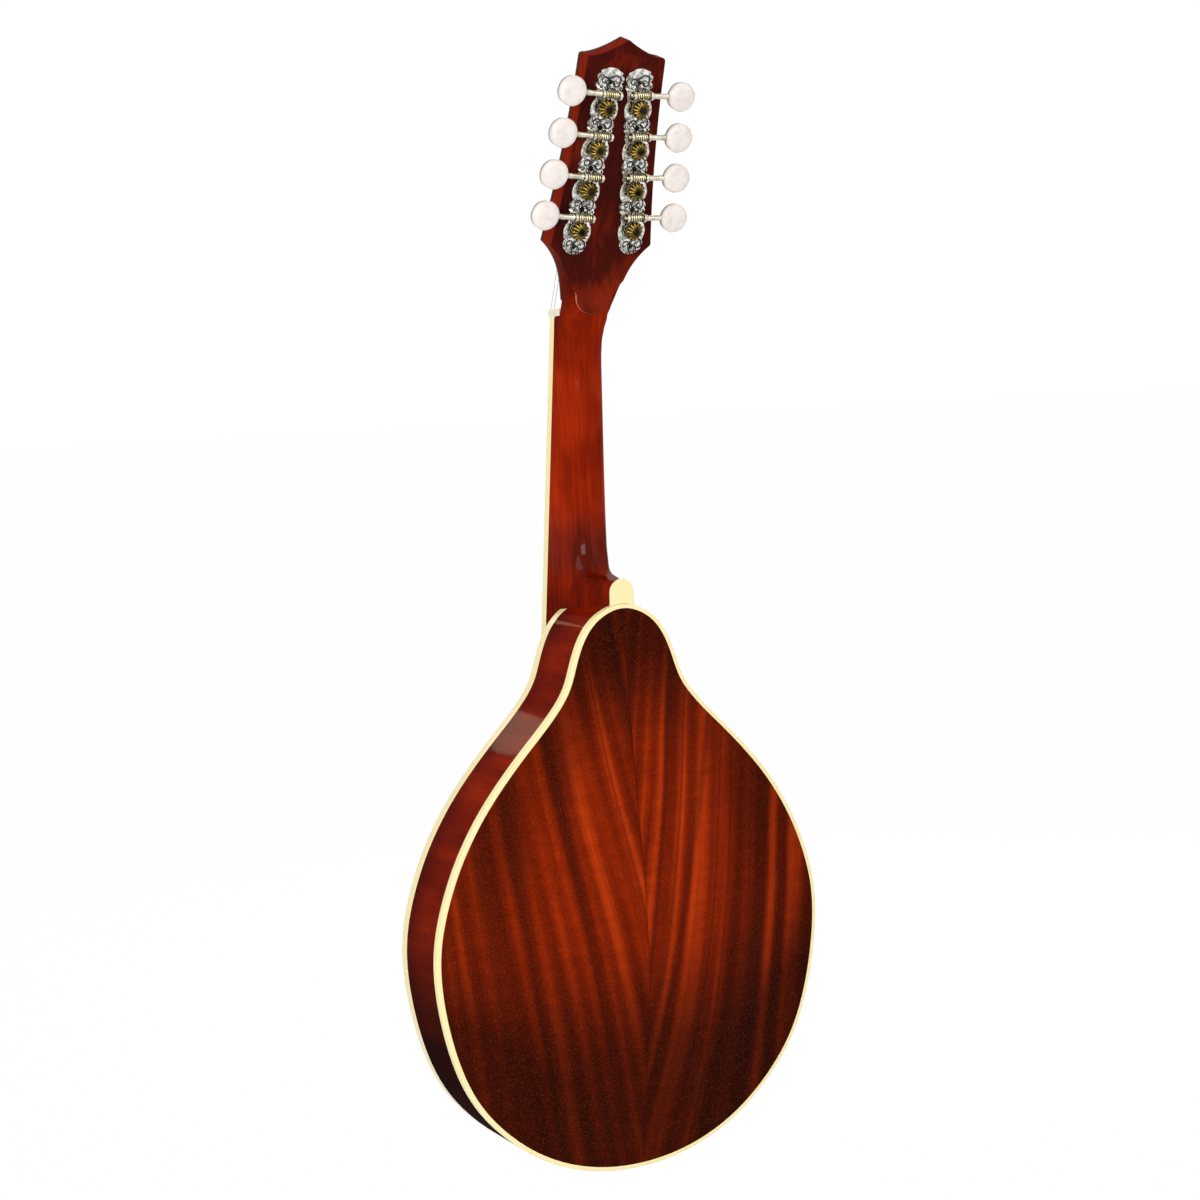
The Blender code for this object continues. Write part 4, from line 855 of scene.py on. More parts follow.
# The headstock's last tone is a painted lit tone for its side faces.
HEAD = neck_finish("headstock_wood", colour(44, 10, 7), colour(70, 15, 9), colour(124, 34, 11),
                   colour(146, 37, 12)), "stained_wood"
BARE = bare_finish(), "bare_wood"
CREAM = cream_finish("cream_binding", colour(250, 238, 182), colour(240, 222, 158)), "binding"
BONE = cream_finish("bone", colour(238, 232, 210), colour(222, 212, 184)), "bone"
EBONY = ebony_finish("ebony", 0.35), "black_wood"
GLOSS_BLACK = ebony_finish("black_lacquer", 0.12), "black_wood"
NICKEL = metal_finish("nickel", colour(214, 210, 194), colour(184, 176, 152)), "nickel"
COVER_NICKEL = metal_finish("cover_nickel", colour(212, 208, 194), colour(202, 197, 181)), "nickel"
STEEL = metal_finish("steel", colour(200, 200, 200), colour(165, 165, 165), 0.18), "steel"
# The last colour of brass is painted shade in the gears' grooves.
BRASS = metal_finish("brass", colour(168, 142, 72), colour(90, 74, 30), 0.2, colour(34, 24, 8)), "brass"
# A darker copy of brass, painted shade for the collar in the middle of each gear.
SHADED_BRASS = metal_finish("shaded_brass", colour(104, 84, 38), colour(52, 40, 16), 0.2), "brass"
# The last colour of the worm metal is painted shade in the thread's roots.
WORM_METAL = metal_finish("worm_metal", colour(226, 216, 180), colour(176, 158, 112), 0.2,
                          colour(96, 80, 46)), "nickel"
DARK_STEEL = metal_finish("dark_steel", colour(44, 40, 32), colour(16, 14, 12), 0.25), "steel"
ENGRAVED = engraved_finish(), "nickel"
PEARL = pearl_finish(), "pearl"
WOUND = wound_finish(), "bronze"


def share_loop(loop, u):
    """A point of a closed loop of the outline's count."""
    return loop[round(u * ROUND) % ROUND]


def make_back():
    def place(u, v):
        edge = share_loop(PLATE_OUTLINE, u)
        reach = 1 - abs(2 * v - 1) ** 1.5
        x, z = edge.x * reach, WIDEST_Z + (edge.y - WIDEST_Z) * reach
        return Vector((x, back_y(x, z) - (PLATE_THICKNESS if v > 0.5 else 0.0), z))

    finished(sheet("arched_back", ROUND, 2 * BACK_ROWS, place), BACK, "back_plate")


def make_top():
    def place(u, v):
        edge = share_loop(PLATE_OUTLINE, u)
        turn = atan2(edge.y - HOLE_CENTRE_Z, edge.x)
        rim = 1 / hypot(cos(turn) / (HOLE_WIDTH / 2), sin(turn) / (HOLE_LENGTH / 2))
        near = Vector((rim * cos(turn), HOLE_CENTRE_Z + rim * sin(turn)))
        spot = near.lerp(edge, 1 - abs(2 * v - 1))
        return Vector((spot.x, top_y(spot.x, spot.y) + (PLATE_THICKNESS if 0.5 < v < 1.0 else 0.0), spot.y))

    finished(sheet("carved_top", ROUND, 2 * TOP_ROWS, place), TOP, "soundboard")

    def ring(u, v):
        turn, around = tau * u, tau * v
        wide = 0.0011 * cos(around)
        x = (HOLE_WIDTH / 2 + wide) * cos(turn)
        z = HOLE_CENTRE_Z + (HOLE_LENGTH / 2 + wide) * sin(turn)
        y = top_y(x, z) + PLATE_THICKNESS / 2 + (PLATE_THICKNESS / 2 + 0.0002) * sin(around)
        return Vector((x, y, z))

    finished(sheet("hole_binding", 96, 12, ring), CREAM)


def band(name, section, start=0, stop=ROUND, half_gap=0.0):
    """A strip round the body; its section is a closed list of (inset, y)."""
    loops = {inward: inset(OUTLINE, inward) for inward, _ in section}
    count = len(section)

    def place(u, v):
        inward, y = section[round(v * count) % count]
        point = loops[inward][(start + round(u * (stop - start))) % ROUND]
        x = point.x
        if half_gap and u in (0.0, 1.0):
            x = half_gap
        return Vector((x, y, point.y))

    return sheet(name, abs(stop - start), count, place)


def rounded(outer, inner, low, high, radius, at_low, at_high):
    """Section of (inset, y) with rounded outer corners."""
    section = []
    if at_low:
        section += [(outer + radius * (1 - sin(t)), low + radius * (1 - cos(t)))
                    for t in (0.0, 0.4, 0.8, 1.2, pi / 2)]
    else:
        section.append((outer, low))
    if at_high:
        section += [(outer + radius * (1 - sin(t)), high - radius * (1 - cos(t)))
                    for t in (pi / 2, 1.2, 0.8, 0.4, 0.0)]
    else:
        section.append((outer, high))
    return section + [(inner, high), (inner, low)]


def make_sides():
    low, high = FRONT_EDGE_Y + TOP_BINDING_HEIGHT, BACK_EDGE_Y - BACK_BINDING_HEIGHT
    wall = [(0.0, low + (high - low) * i / 6) for i in range(7)]
    wall += [(SIDE_THICKNESS, high), (SIDE_THICKNESS, low)]
    half = ROUND // 2
    finished(band("side_treble", wall, 0, half, GAP / 6), RIM, "rib_treble")
    finished(band("side_bass", wall, half, ROUND, -GAP / 6), RIM, "rib_bass")
    inner = BINDING_WIDTH + GAP / 2
    back = rounded(0.0, inner, BACK_EDGE_Y - BACK_BINDING_HEIGHT, BACK_EDGE_Y, 0.0009, False, True)
    top = rounded(0.0, inner, FRONT_EDGE_Y, FRONT_EDGE_Y + TOP_BINDING_HEIGHT, 0.0009, True, False)
    finished(band("edge_binding_back", back), CREAM, "back_binding")
    finished(band("edge_binding_top", top), CREAM, "top_binding")


def neck_rows():
    """Rows of (z, front, depth, half width, half width at the back, squareness) down the neck."""
    heel_end = BACK_EDGE_Y - HEEL_CAP_THICKNESS - GAP
    cap = HEEL_CAP_WIDTH / 2
    rows = []
    for z, share in ((BODY_TOP_Z - 0.014, 1.1), (-0.1870, 1.0), (-0.1820, 0.85), (-0.1795, 0.55)):
        rows.append((z, neck_seat(z), heel_end - neck_seat(z), board_half(z), share * cap, 4.5))
    for share, swell, narrow, power in ((0.97, 0.384, 0.60, 3.2), (0.78, 0.161, 0.80, 2.6),
                                        (0.42, 0.062, 0.95, 2.2)):
        z = HEEL_START_Z + (HEEL_FACE_Z - HEEL_START_Z) * share
        depth = NECK_DEPTH + swell * (heel_end - neck_seat(z) - NECK_DEPTH)
        rows.append((z, neck_seat(z), depth, board_half(z), board_half(z) * narrow, power))
    for i in range(6):
        z = HEEL_START_Z + 0.1100 * i / 5
        depth = NECK_DEPTH - NECK_DEPTH_LOSS * (i / 5) ** 0.75
        rows.append((z, neck_seat(z), depth, board_half(z), board_half(z), 2.05))
    for z, depth, power in ((-0.0400, 0.0161, 2.2), (-0.0310, 0.0170, 3.0), (NUT_Z - 2 * GAP, 0.0181, 4.6)):
        rows.append((z, neck_seat(z), depth, board_half(z), board_half(z), power))
    top_z = head_point(0, HEAD_CORNER_RISE * 0.72, 0).z
    for i in range(7):
        z = NUT_Z + (top_z - NUT_Z) * i / 6
        front = head_wood_front_y(z) + 2 * GAP * i / 6
        depth = head_back_y(z) - TONGUE_STEP / cos(HEAD_PITCH) - front
        rows.append((z, front, depth, flare_half(z), flare_half(z), 3.6 + 22.0 * i / 6))
    return rows


def make_neck():
    rows = sorted(neck_rows())
    heights = []
    for low, high in zip(rows, rows[1:]):
        steps = max(1, round((high[0] - low[0]) / NECK_STEP))
        heights += [low[0] + (high[0] - low[0]) * i / steps for i in range(steps)]
    heights.append(rows[-1][0])

    def place(u, v):
        z = heights[round(v * (len(heights) - 1))]
        front, depth, half, back_half, power = eased(rows, z)
        u %= 1.0
        if u > ROUND_SHARE:
            return Vector((-half + 2 * half * (u - ROUND_SHARE) / (1 - ROUND_SHARE), front, z))
        turn = pi * u / ROUND_SHARE
        across = copysign(abs(cos(turn)) ** (2 / power), cos(turn))
        share = abs(sin(turn)) ** (2 / power)
        y = front + depth * share
        wide = half + (back_half - half) * share
        if z > NUT_Z - FLARE_BELOW_NUT:
            rise = (y - HEAD_BACK_Y) * sin(HEAD_PITCH) + (z - HEAD_ROOT_Z) * cos(HEAD_PITCH)
            wide = max(wide if z < NUT_Z else 0.0, flare_half(HEAD_ROOT_Z + rise * cos(HEAD_PITCH)))
            wide *= 1.002 - 0.05 * smoothstep((rise / HEAD_CORNER_RISE - 0.50) / 0.2)
        return Vector((across * wide, y, z))

    shaft = sheet("neck_shaft", NECK_COLUMNS, len(heights) - 1, place)
    finished(shaft, NECK, "neck")
    rings = []
    for i in range(13):
        z = BODY_TOP_Z + 0.005 + (BOARD_END_Z - BODY_TOP_Z - 0.005) * i / 12
        low, half = top_y(0.0, z) - GAP, board_half(z) - GAP
        rings.append([Vector((-half, neck_seat(z), z)), Vector((half, neck_seat(z), z)),
                      Vector((half * 0.9, low, z)), Vector((-half * 0.9, low, z))])
    finished(loft("board_riser", rings), NECK)
    wood = slab("headstock_wood", head_outline(True), on_front(HEADPLATE_THICKNESS + GAP / 4),
                lambda x, rise: head_point(x, rise, 0.0), 0.0007, 3)
    lean = Vector((0, cos(HEAD_PITCH), -sin(HEAD_PITCH)))
    # Marks the slab's side faces, which take the painted lit tone and the painted tongue highlight.
    mark(wood, "side", lambda spot: smoothstep((head_point(0, 0, 0) - spot).dot(lean) / 0.0007))
    finished(wood, HEAD)
    front = slab("head_veneer", head_outline(False), on_front(0.0), on_front(HEADPLATE_THICKNESS), 0.0004, 2)
    finished(front, GLOSS_BLACK, "headplate")


def head_outline(with_tongue):
    """Closed outline of the headstock as (x, rise), root to peak and back."""
    points = []
    if with_tongue:
        tongue_rise = TONGUE_RADIUS + (NUT_Z - HEAD_ROOT_Z) / cos(HEAD_PITCH)
        for i in range(22):
            turn = -pi / 2 + radians(88) * i / 21
            points.append((TONGUE_RADIUS * cos(turn), tongue_rise + TONGUE_RADIUS * sin(turn)))
    else:
        points += [(0.0, 0.0), (flare_half(HEAD_ROOT_Z), 0.0)]
    first = 0.42 if with_tongue else 0.20
    for i in range(15):
        rise = HEAD_CORNER_RISE * (first + (1 - first) * i / 14)
        points.append((flare_half(HEAD_ROOT_Z + rise * cos(HEAD_PITCH)), rise))
    corner, shoulder = HEAD_CORNER_WIDTH / 2, HEAD_SHOULDER_WIDTH / 2
    for i in range(1, 15):
        share = i / 14 * 0.985
        points.append((corner + (shoulder - corner) * share - 4 * HEAD_SIDE_BOW * share * (1 - share),
                       HEAD_CORNER_RISE + (HEAD_SHOULDER_RISE - HEAD_CORNER_RISE) * share))
    points.append((shoulder - 0.0004, HEAD_SHOULDER_RISE - 0.0006))
    shoulder -= 0.0015
    points.append((shoulder, HEAD_SHOULDER_RISE))
    crest = HEAD_PEAK_RISE - HEAD_SHOULDER_RISE
    for i in range(1, 14):
        share = i / 14
        points.append((shoulder * (1 - share), HEAD_SHOULDER_RISE + crest * share ** 1.6))
    points.append((0.0, HEAD_PEAK_RISE))
    return points + [(-x, rise) for x, rise in points[-2:0:-1]]


def make_neck_fittings():
    half = HEEL_CAP_WIDTH / 2
    top = [(p.x, p.y) for p in inset(OUTLINE, -0.0001) if abs(p.x) < half * 1.1 and p.y > WIDEST_Z]
    outline = sorted(top)
    for i in range(25):
        turn = pi * i / 24
        outline.append((half * cos(turn), HEEL_FACE_Z - half + half * sin(turn)))
    cap = slab("heel_tip", outline, lambda x, z: Vector((x, BACK_EDGE_Y - HEEL_CAP_THICKNESS, z)),
               lambda x, z: Vector((x, BACK_EDGE_Y, z)), 0.0004, 2)
    finished(cap, CREAM, "heel_cap")
    shape = [(0.03, 0.8), (0.12, 0.95), (0.25, 1.0), (0.38, 0.96), (0.5, 0.86), (0.62, 0.70), (0.75, 0.5),
             (0.86, 0.39), (0.93, 0.32), (1.0, 0.14)]
    cover = [(ROD_COVER_WIDTH / 2 * wide, ROD_COVER_LENGTH * share) for share, wide in shape]
    cover += [(-x, rise) for x, rise in cover[::-1]]
    plate = slab("rod_cover", cover, on_front(-GAP - ROD_COVER_THICKNESS), on_front(-GAP / 3), 0.0004, 2)
    finished(plate, CREAM, "truss_rod_cover")
    head = small_screw()
    for index, (x, rise) in enumerate(((0.0062, 0.0030), (-0.0062, 0.0030), (0.0, 0.0268))):
        face = -head_thickness(rise) - GAP - ROD_COVER_THICKNESS
        seat = head_frame(x, rise) @ Matrix.Translation((0, 0, face)) @ OVER
        finished(copy_of(head, f"cover_screw_{index + 1}", seat), NICKEL)
    discard(head)

    def nut_ring(i):
        x = -board_half(NUT_Z) + 2 * board_half(NUT_Z) * i / NUT_STATIONS
        drop = notch_depth(x, COURSE_GAP_NUT, 1.6, 0.0005)
        y, z, back = NUT_FRONT_Y - 0.0004 + drop, NUT_Z + GAP / 2, head_wood_front_y(NUT_Z) - GAP / 2
        depth = NUT_THICKNESS + GAP
        arch = [(z, back), (z, y + 0.0004), (z + depth * 0.15, y), (z + depth * 0.6, y + 0.0002),
                (z + depth * 0.9, y + 0.0008), (z + depth, y + 0.0016), (z + depth, back)]
        return [Vector((x, b, a)) for a, b in arch]

    nut = loft("string_nut", [nut_ring(i) for i in range(NUT_STATIONS + 1)])
    finished(nut, BONE, "nut")


def small_screw(radius=0.0013, height=0.0008):
    """A slotted round-head screw about Z, its seat at the origin."""
    head = turned("screw", [(radius, -height), (radius, height * 0.3), (radius * 0.86, height * 0.75),
                            (radius * 0.5, height), (radius * 0.05, height * 1.02)], 20)
    slot = primitive("slot", bpy.ops.mesh.primitive_cube_add, size=1, location=(0, 0, height))
    slot.scale = (radius * 3, radius * 0.32, height * 0.9)
    choose(slot)
    bpy.ops.object.transform_apply(location=True, scale=True)
    cut_with(head, slot)
    return head


def cut_with(piece, tool):
    choose(piece)
    cutter = piece.modifiers.new("cut", "BOOLEAN")
    cutter.operation = "DIFFERENCE"
    cutter.object = tool
    bpy.ops.object.modifier_apply(modifier=cutter.name)
    discard(tool)
    return close_up(piece, False)


def make_fingerboard():
    rings = []
    for z in (NUT_Z, BOARD_END_Z + BOARD_BINDING):
        half = board_half(z) - BOARD_BINDING
        rings.append([Vector((-half, board_y(z), z)), Vector((half, board_y(z), z)),
                      Vector((half, neck_seat(z), z)), Vector((-half, neck_seat(z), z))])
    finished(loft("board", rings), EBONY, "fingerboard")
    frets = []
    for number in range(1, BOARD_FRETS + 1):
        z = fret_z(number)
        half = board_half(z) - 0.0006
        loops = []
        for share, drop in ((-1.0, 0.5), (-0.985, 0.1), (-0.96, 0.0), (0.96, 0.0), (0.985, 0.1), (1.0, 0.5)):
            height = FRET_HEIGHT * (1 - drop)
            loop = [Vector((half * share, board_y(z) - height * sin(pi * k / 8),
                            z + FRET_WIDTH / 2 * cos(pi * k / 8))) for k in range(9)]
            loops.append(loop + [Vector((half * share, board_y(z) + 0.0004, z - 0.0006)),
                                 Vector((half * share, board_y(z) + 0.0004, z + 0.0006))])
        frets.append(loft(f"fret_{number}", loops))
    finished(joined("frets", frets), NICKEL)
    dot = turned("dot", [(0.0022, -0.0006), (0.0022, 0.0), (0.0020, 0.00004)], 24)
    dots = []
    for number, x in ((5, 0.0), (7, 0.0), (10, 0.0), (12, -0.008), (12, 0.008), (15, 0.0)):
        z = (fret_z(number) + fret_z(number - 1)) / 2
        slope = Matrix.Translation((x, board_y(z), z)) @ Matrix.Rotation(pi / 2 - NECK_ANGLE, 4, "X")
        dots.append(copy_of(dot, "position_dot", slope))
    discard(dot)
    finished(joined("position_dots", dots), PEARL)


def string_x(index, course_gap):
    course, second = divmod(index, 2)
    return (course - 1.5) * course_gap + (second - 0.5) * PAIR_GAP


def string_front_y(z):
    start = NUT_FRONT_Y - GAP - max(STRING_RADII)
    slope = NECK_SLOPE + STRING_ACTION / (SCALE_LENGTH / 2)
    return start - slope * (NUT_Z - z)


def wire_look(index):
    """The four thicker strings are wound, the others plain."""
    return WOUND if index < 4 else STEEL


def notch_depth(x, course_gap, spread, depth):
    """How deep the strings' notches are at a place across."""
    away = min(abs(x - string_x(index, course_gap)) / (radius * spread)
               for index, radius in enumerate(STRING_RADII))
    return depth * sqrt(max(0.0, 1 - away * away))


def make_strings():
    for index, radius in enumerate(STRING_RADII):
        side = -1 if index < 4 else 1
        tuner = 3 - (index if side < 0 else 7 - index)
        x, rise = tuner_place(side, tuner)
        inward = -side * (POST_RADIUS + GAP + radius)
        post = head_point(x + inward, rise, -head_thickness(rise) - POST_REACH * STRING_ON_POST)
        nut_x, bridge_x = string_x(index, COURSE_GAP_NUT), string_x(index, COURSE_GAP_BRIDGE)
        nut_y, bridge_y = string_front_y(NUT_Z), string_front_y(BRIDGE_Z)
        high, half = NUT_THICKNESS + 2 * GAP, SADDLE_WIDTH / 2
        tail_z = TAIL_Z + TAILPIECE_LENGTH - HOOK_FROM_END
        tail_y = FRONT_EDGE_Y - TAILPIECE_HEIGHT - GAP - 2 * radius
        route = [post, Vector((nut_x, nut_y, NUT_Z + high)), Vector((nut_x, nut_y, NUT_Z)),
                 Vector((bridge_x, bridge_y, BRIDGE_Z + half)), Vector((bridge_x, bridge_y, BRIDGE_Z - half)),
                 Vector((nut_x, tail_y, tail_z))]
        path = [route[0]]
        for before, corner, after in zip(route, route[1:], route[2:]):
            lead = (before - corner).normalized() * STRING_BEND
            leave = (after - corner).normalized() * STRING_BEND
            path += [corner + lead, corner + (lead + leave) * 0.25, corner + leave]
        path.append(route[-1])
        string = tube(f"wire_{index + 1}", path, radius, 12)
        finished(string, wire_look(index), f"string_{index + 1}")


def make_bridge():
    crest = top_y(0.0, BRIDGE_Z) - GAP - BRIDGE_BASE_HEIGHT

    def base_ring(i):
        share = -1 + 2 * i / BRIDGE_STATIONS
        x = share * BRIDGE_LENGTH / 2
        foot_low, foot_high = (top_y(x, BRIDGE_Z + s * BRIDGE_WIDTH / 2) for s in (-1, 1))
        end = 1 - 0.55 * max(0.0, (abs(share) - 0.9) / 0.1) ** 2
        half = BRIDGE_WIDTH / 2 * end
        face = crest + BRIDGE_END_DROP * smoothstep(abs(share))
        neck = half * 0.72
        return [Vector((x, y, BRIDGE_Z + z)) for y, z in (
            (foot_low, -half), (foot_low - 0.0018, -half), (face + 0.0008, -neck), (face, -neck * 0.75),
            (face, neck * 0.75), (face + 0.0008, neck), (foot_high - 0.0018, half), (foot_high, half))]

    base = loft("bridge_foot", [base_ring(i) for i in range(BRIDGE_STATIONS + 1)])
    finished(base, EBONY, "bridge_base")
    front = string_front_y(BRIDGE_Z) + max(STRING_RADII) + GAP
    seat = crest - SADDLE_DROP - 2 * GAP - WHEEL_THICKNESS - GAP
    wall = seat - STUD_IN_SADDLE - SADDLE_DROP - 4 * GAP

    def saddle_ring(i):
        share = -1 + 2 * i / SADDLE_STATIONS
        x = share * SADDLE_LENGTH / 2
        drop = 0.0022 * smoothstep((abs(x) - (SADDLE_LENGTH / 2 - 0.0060)) / 0.0060)
        course = round(x / COURSE_GAP_BRIDGE + 1.5)
        shift = (-0.0006, 0.0004, -0.0005, 0.0006)[min(3, max(0, course))]
        notch = notch_depth(x, COURSE_GAP_BRIDGE, 1.5, 0.0004)
        half = SADDLE_WIDTH / 2 * (1 - 0.25 * smoothstep((abs(share) - 0.93) / 0.07))
        tip, flank = 0.0009, wall + drop * 0.5
        low, high = seat - drop, front + drop - 0.0003 + notch
        return [Vector((x, y, BRIDGE_Z + z)) for y, z in (
            (low, -half), (flank, -half), (high + 0.0006, shift - tip), (high, shift - tip * 0.5),
            (high, shift + tip * 0.5), (high + 0.0006, shift + tip), (flank, half), (low, half))]

    saddle = loft("string_saddle", [saddle_ring(i) for i in range(SADDLE_STATIONS + 1)])
    finished(saddle, EBONY, "bridge_saddle", body="saddle")
    low, high = crest + 0.001, seat - STUD_IN_SADDLE

    def thread(u, v):
        turn = tau * u
        radius = STUD_RADIUS - THREAD_DEPTH * (0.5 + 0.5 * cos(turn - tau * v * STUD_THREADS))
        return Vector((radius * cos(turn), low + (high - low) * v, BRIDGE_Z + radius * sin(turn)))

    def knurl(u, v):
        turn = tau * u
        edge = min(v, 1 - v) * 6
        radius = WHEEL_RADIUS * (1 - 0.10 * max(0.0, 1 - edge) ** 2)
        radius -= KNURL_DEPTH * (0.5 + 0.5 * cos(WHEEL_TEETH * turn)) * min(1.0, edge)
        if v in (0.0, 1.0):
            radius = STUD_RADIUS + 0.0001
        y = seat + GAP / 2 + WHEEL_THICKNESS * min(1.0, max(0.0, (v - 0.1) / 0.8))
        return Vector((radius * cos(turn), y, BRIDGE_Z + radius * sin(turn)))

    stud = sheet("stud", 16, 8 * STUD_THREADS, thread)
    wheel = sheet("wheel", 4 * WHEEL_TEETH, 10, knurl)
    studs = []
    for side, name in ((1, "treble"), (-1, "bass")):
        shift = Matrix.Translation((side * STUD_SPACING / 2, 0, 0))
        studs.append(copy_of(stud, "bridge_stud", shift))
        finished(copy_of(wheel, f"height_wheel_{name}", shift), BRASS, f"thumbwheel_{name}",
                 body=f"wheel_{name}")
    finished(joined("bridge_studs", studs), BRASS)
    discard(stud, wheel)


def make_tailpiece():
    half, front = TAILPIECE_WIDTH / 2, FRONT_EDGE_Y - TAILPIECE_HEIGHT
    low_z = TAIL_Z - GAP - SHEET_METAL
    top_z = TAIL_Z + TAILPIECE_LENGTH
    leaf_z, corner = low_z + SHEET_METAL / 2, 0.0025
    line = [Vector((front + TAILPIECE_LEAF, leaf_z)), Vector((front + corner, leaf_z))]
    line += [Vector((front + SHEET_METAL / 2 + corner * (1 - sin(t)),
                     leaf_z + corner * (1 - cos(t)))) for t in (0.4, 0.8, 1.2, pi / 2)]
    line.append(Vector((front + SHEET_METAL / 2, top_z)))
    loops = []
    for i, point in enumerate(line):
        before, after = line[max(0, i - 1)], line[min(len(line) - 1, i + 1)]
        along = (after - before).normalized()
        out = Vector((-along.y, along.x)) * SHEET_METAL / 2
        wide = half * 0.92 if point is line[-1] else half
        ends = ((-wide, point + out), (wide, point + out), (wide, point - out), (-wide, point - out))
        loops.append([Vector((x, spot.x, spot.y)) for x, spot in ends])
    base = loft("tail_bracket", loops)
    finished(base, COVER_NICKEL, "tailpiece_base")
    hook_z = top_z - HOOK_FROM_END
    bend = ((0.0006, -0.0030), (-0.0006, -0.0030), (-0.0014, -0.0027), (-0.0019, -0.0018),
            (-0.0021, -0.0005), (-0.0021, 0.0012))
    hook = tube("hook", [(0.0, front + y, hook_z + z) for y, z in bend], HOOK_RADIUS, 10)
    hooks = [copy_of(hook, "string_hook", Matrix.Translation((string_x(index, COURSE_GAP_NUT), 0, 0)))
             for index in range(len(STRING_RADII))]
    discard(hook)
    finished(joined("string_hooks", hooks), NICKEL)
    head = small_screw(0.0022, 0.0012)
    for index, (x, y) in enumerate(((0.0, -0.020), (-0.009, -0.008), (0.009, -0.008))):
        matrix = Matrix.Translation((x, y, low_z)) @ OVER
        finished(copy_of(head, f"tail_screw_{index + 1}", matrix), NICKEL)
    discard(head)
    low = low_z - GAP - SHEET_METAL
    high = low + COVER_LENGTH
    outer, spring, rear = half + GAP + SHEET_METAL, front - GAP, front + SHEET_METAL

    def shell(inward, z, end):
        crown = (COVER_CROWN + SHEET_METAL - inward) * end
        wide = (outer - inward) * (0.94 + 0.06 * end)
        loop = [Vector((wide, rear, z))]
        for i in range(COVER_STEPS + 1):
            turn = pi * i / COVER_STEPS
            loop.append(Vector((wide * cos(turn), spring - crown * sin(turn) ** 0.6, z)))
        return loop + [Vector((-wide, rear, z))]

    outside = [shell(0.0, z, end) for z, end in (
        (high, 0.95), (high - 0.0015, 1.0), (high - 0.010, 1.0), (low + 0.008, 1.0),
        (low + 0.0035, 0.97), (low + 0.0012, 0.88), (low + 0.0002, 0.70), (low, 0.35))]
    inside = [shell(SHEET_METAL, z, end) for z, end in (
        (low + 0.0012, 0.35), (low + 0.0014, 0.66), (low + 0.0035, 0.95),
        (low + 0.008, 1.0), (high - 0.010, 1.0), (high, 0.95))]
    rings = outside + inside
    columns = len(rings[0]) - 1
    count = len(rings)

    def place(u, v):
        return rings[round(v * count) % count][round(u * columns)]

    cover = sheet("tail_cover", columns, count, place)
    finished(cover, COVER_NICKEL, "tailpiece_cover", body="tailpiece_cover")


def mark_map(piece, rule):
    """Write the piece's own map from the places of its points."""
    while piece.data.uv_layers:
        piece.data.uv_layers.remove(piece.data.uv_layers[0])
    layer = piece.data.uv_layers.new(name="own_map")
    for corner in piece.data.loops:
        layer.data[corner.index].uv = rule(piece.data.vertices[corner.vertex_index].co)


def plate_rows():
    """Rows of (height, half width) of a tuner plate, post to post; millimetres."""
    rows = [(22.5, 1.5), (22.1, 3.4), (21.4, 4.2), (20.9, 6.2), (19.8, 7.4), (19.0, 6.9), (18.2, 8.2),
            (16.6, 8.9), (15.2, 8.2), (14.4, 7.4), (13.2, 8.6), (11.8, 9.0), (10.6, 8.0)]
    for k in range(4):
        base = -1000 * TUNER_SPACING * k
        rows += [(base + 9.6, 7.5), (base + 6.6, 7.5), (base + 4.6, 7.0), (base + 2.2, 8.4),
                 (base - 1.4, 9.0), (base - 4.8, 8.3), (base - 6.4, 7.2)]
        if k < 3:
            rows += [(base - 8.0, 8.1), (base - 9.8, 8.8), (base - 11.2, 7.6), (base - 12.4, 8.5)]
    base = -3000 * TUNER_SPACING
    rows += [(base - 7.6, 7.6), (base - 9.0, 7.9), (base - 10.2, 6.6), (base - 11.4, 6.8),
             (base - 12.6, 5.2), (base - 13.4, 4.4), (base - 14.2, 3.0), (base - 14.5, 1.2)]
    return sorted((height / 1000, half / 1000) for height, half in rows)


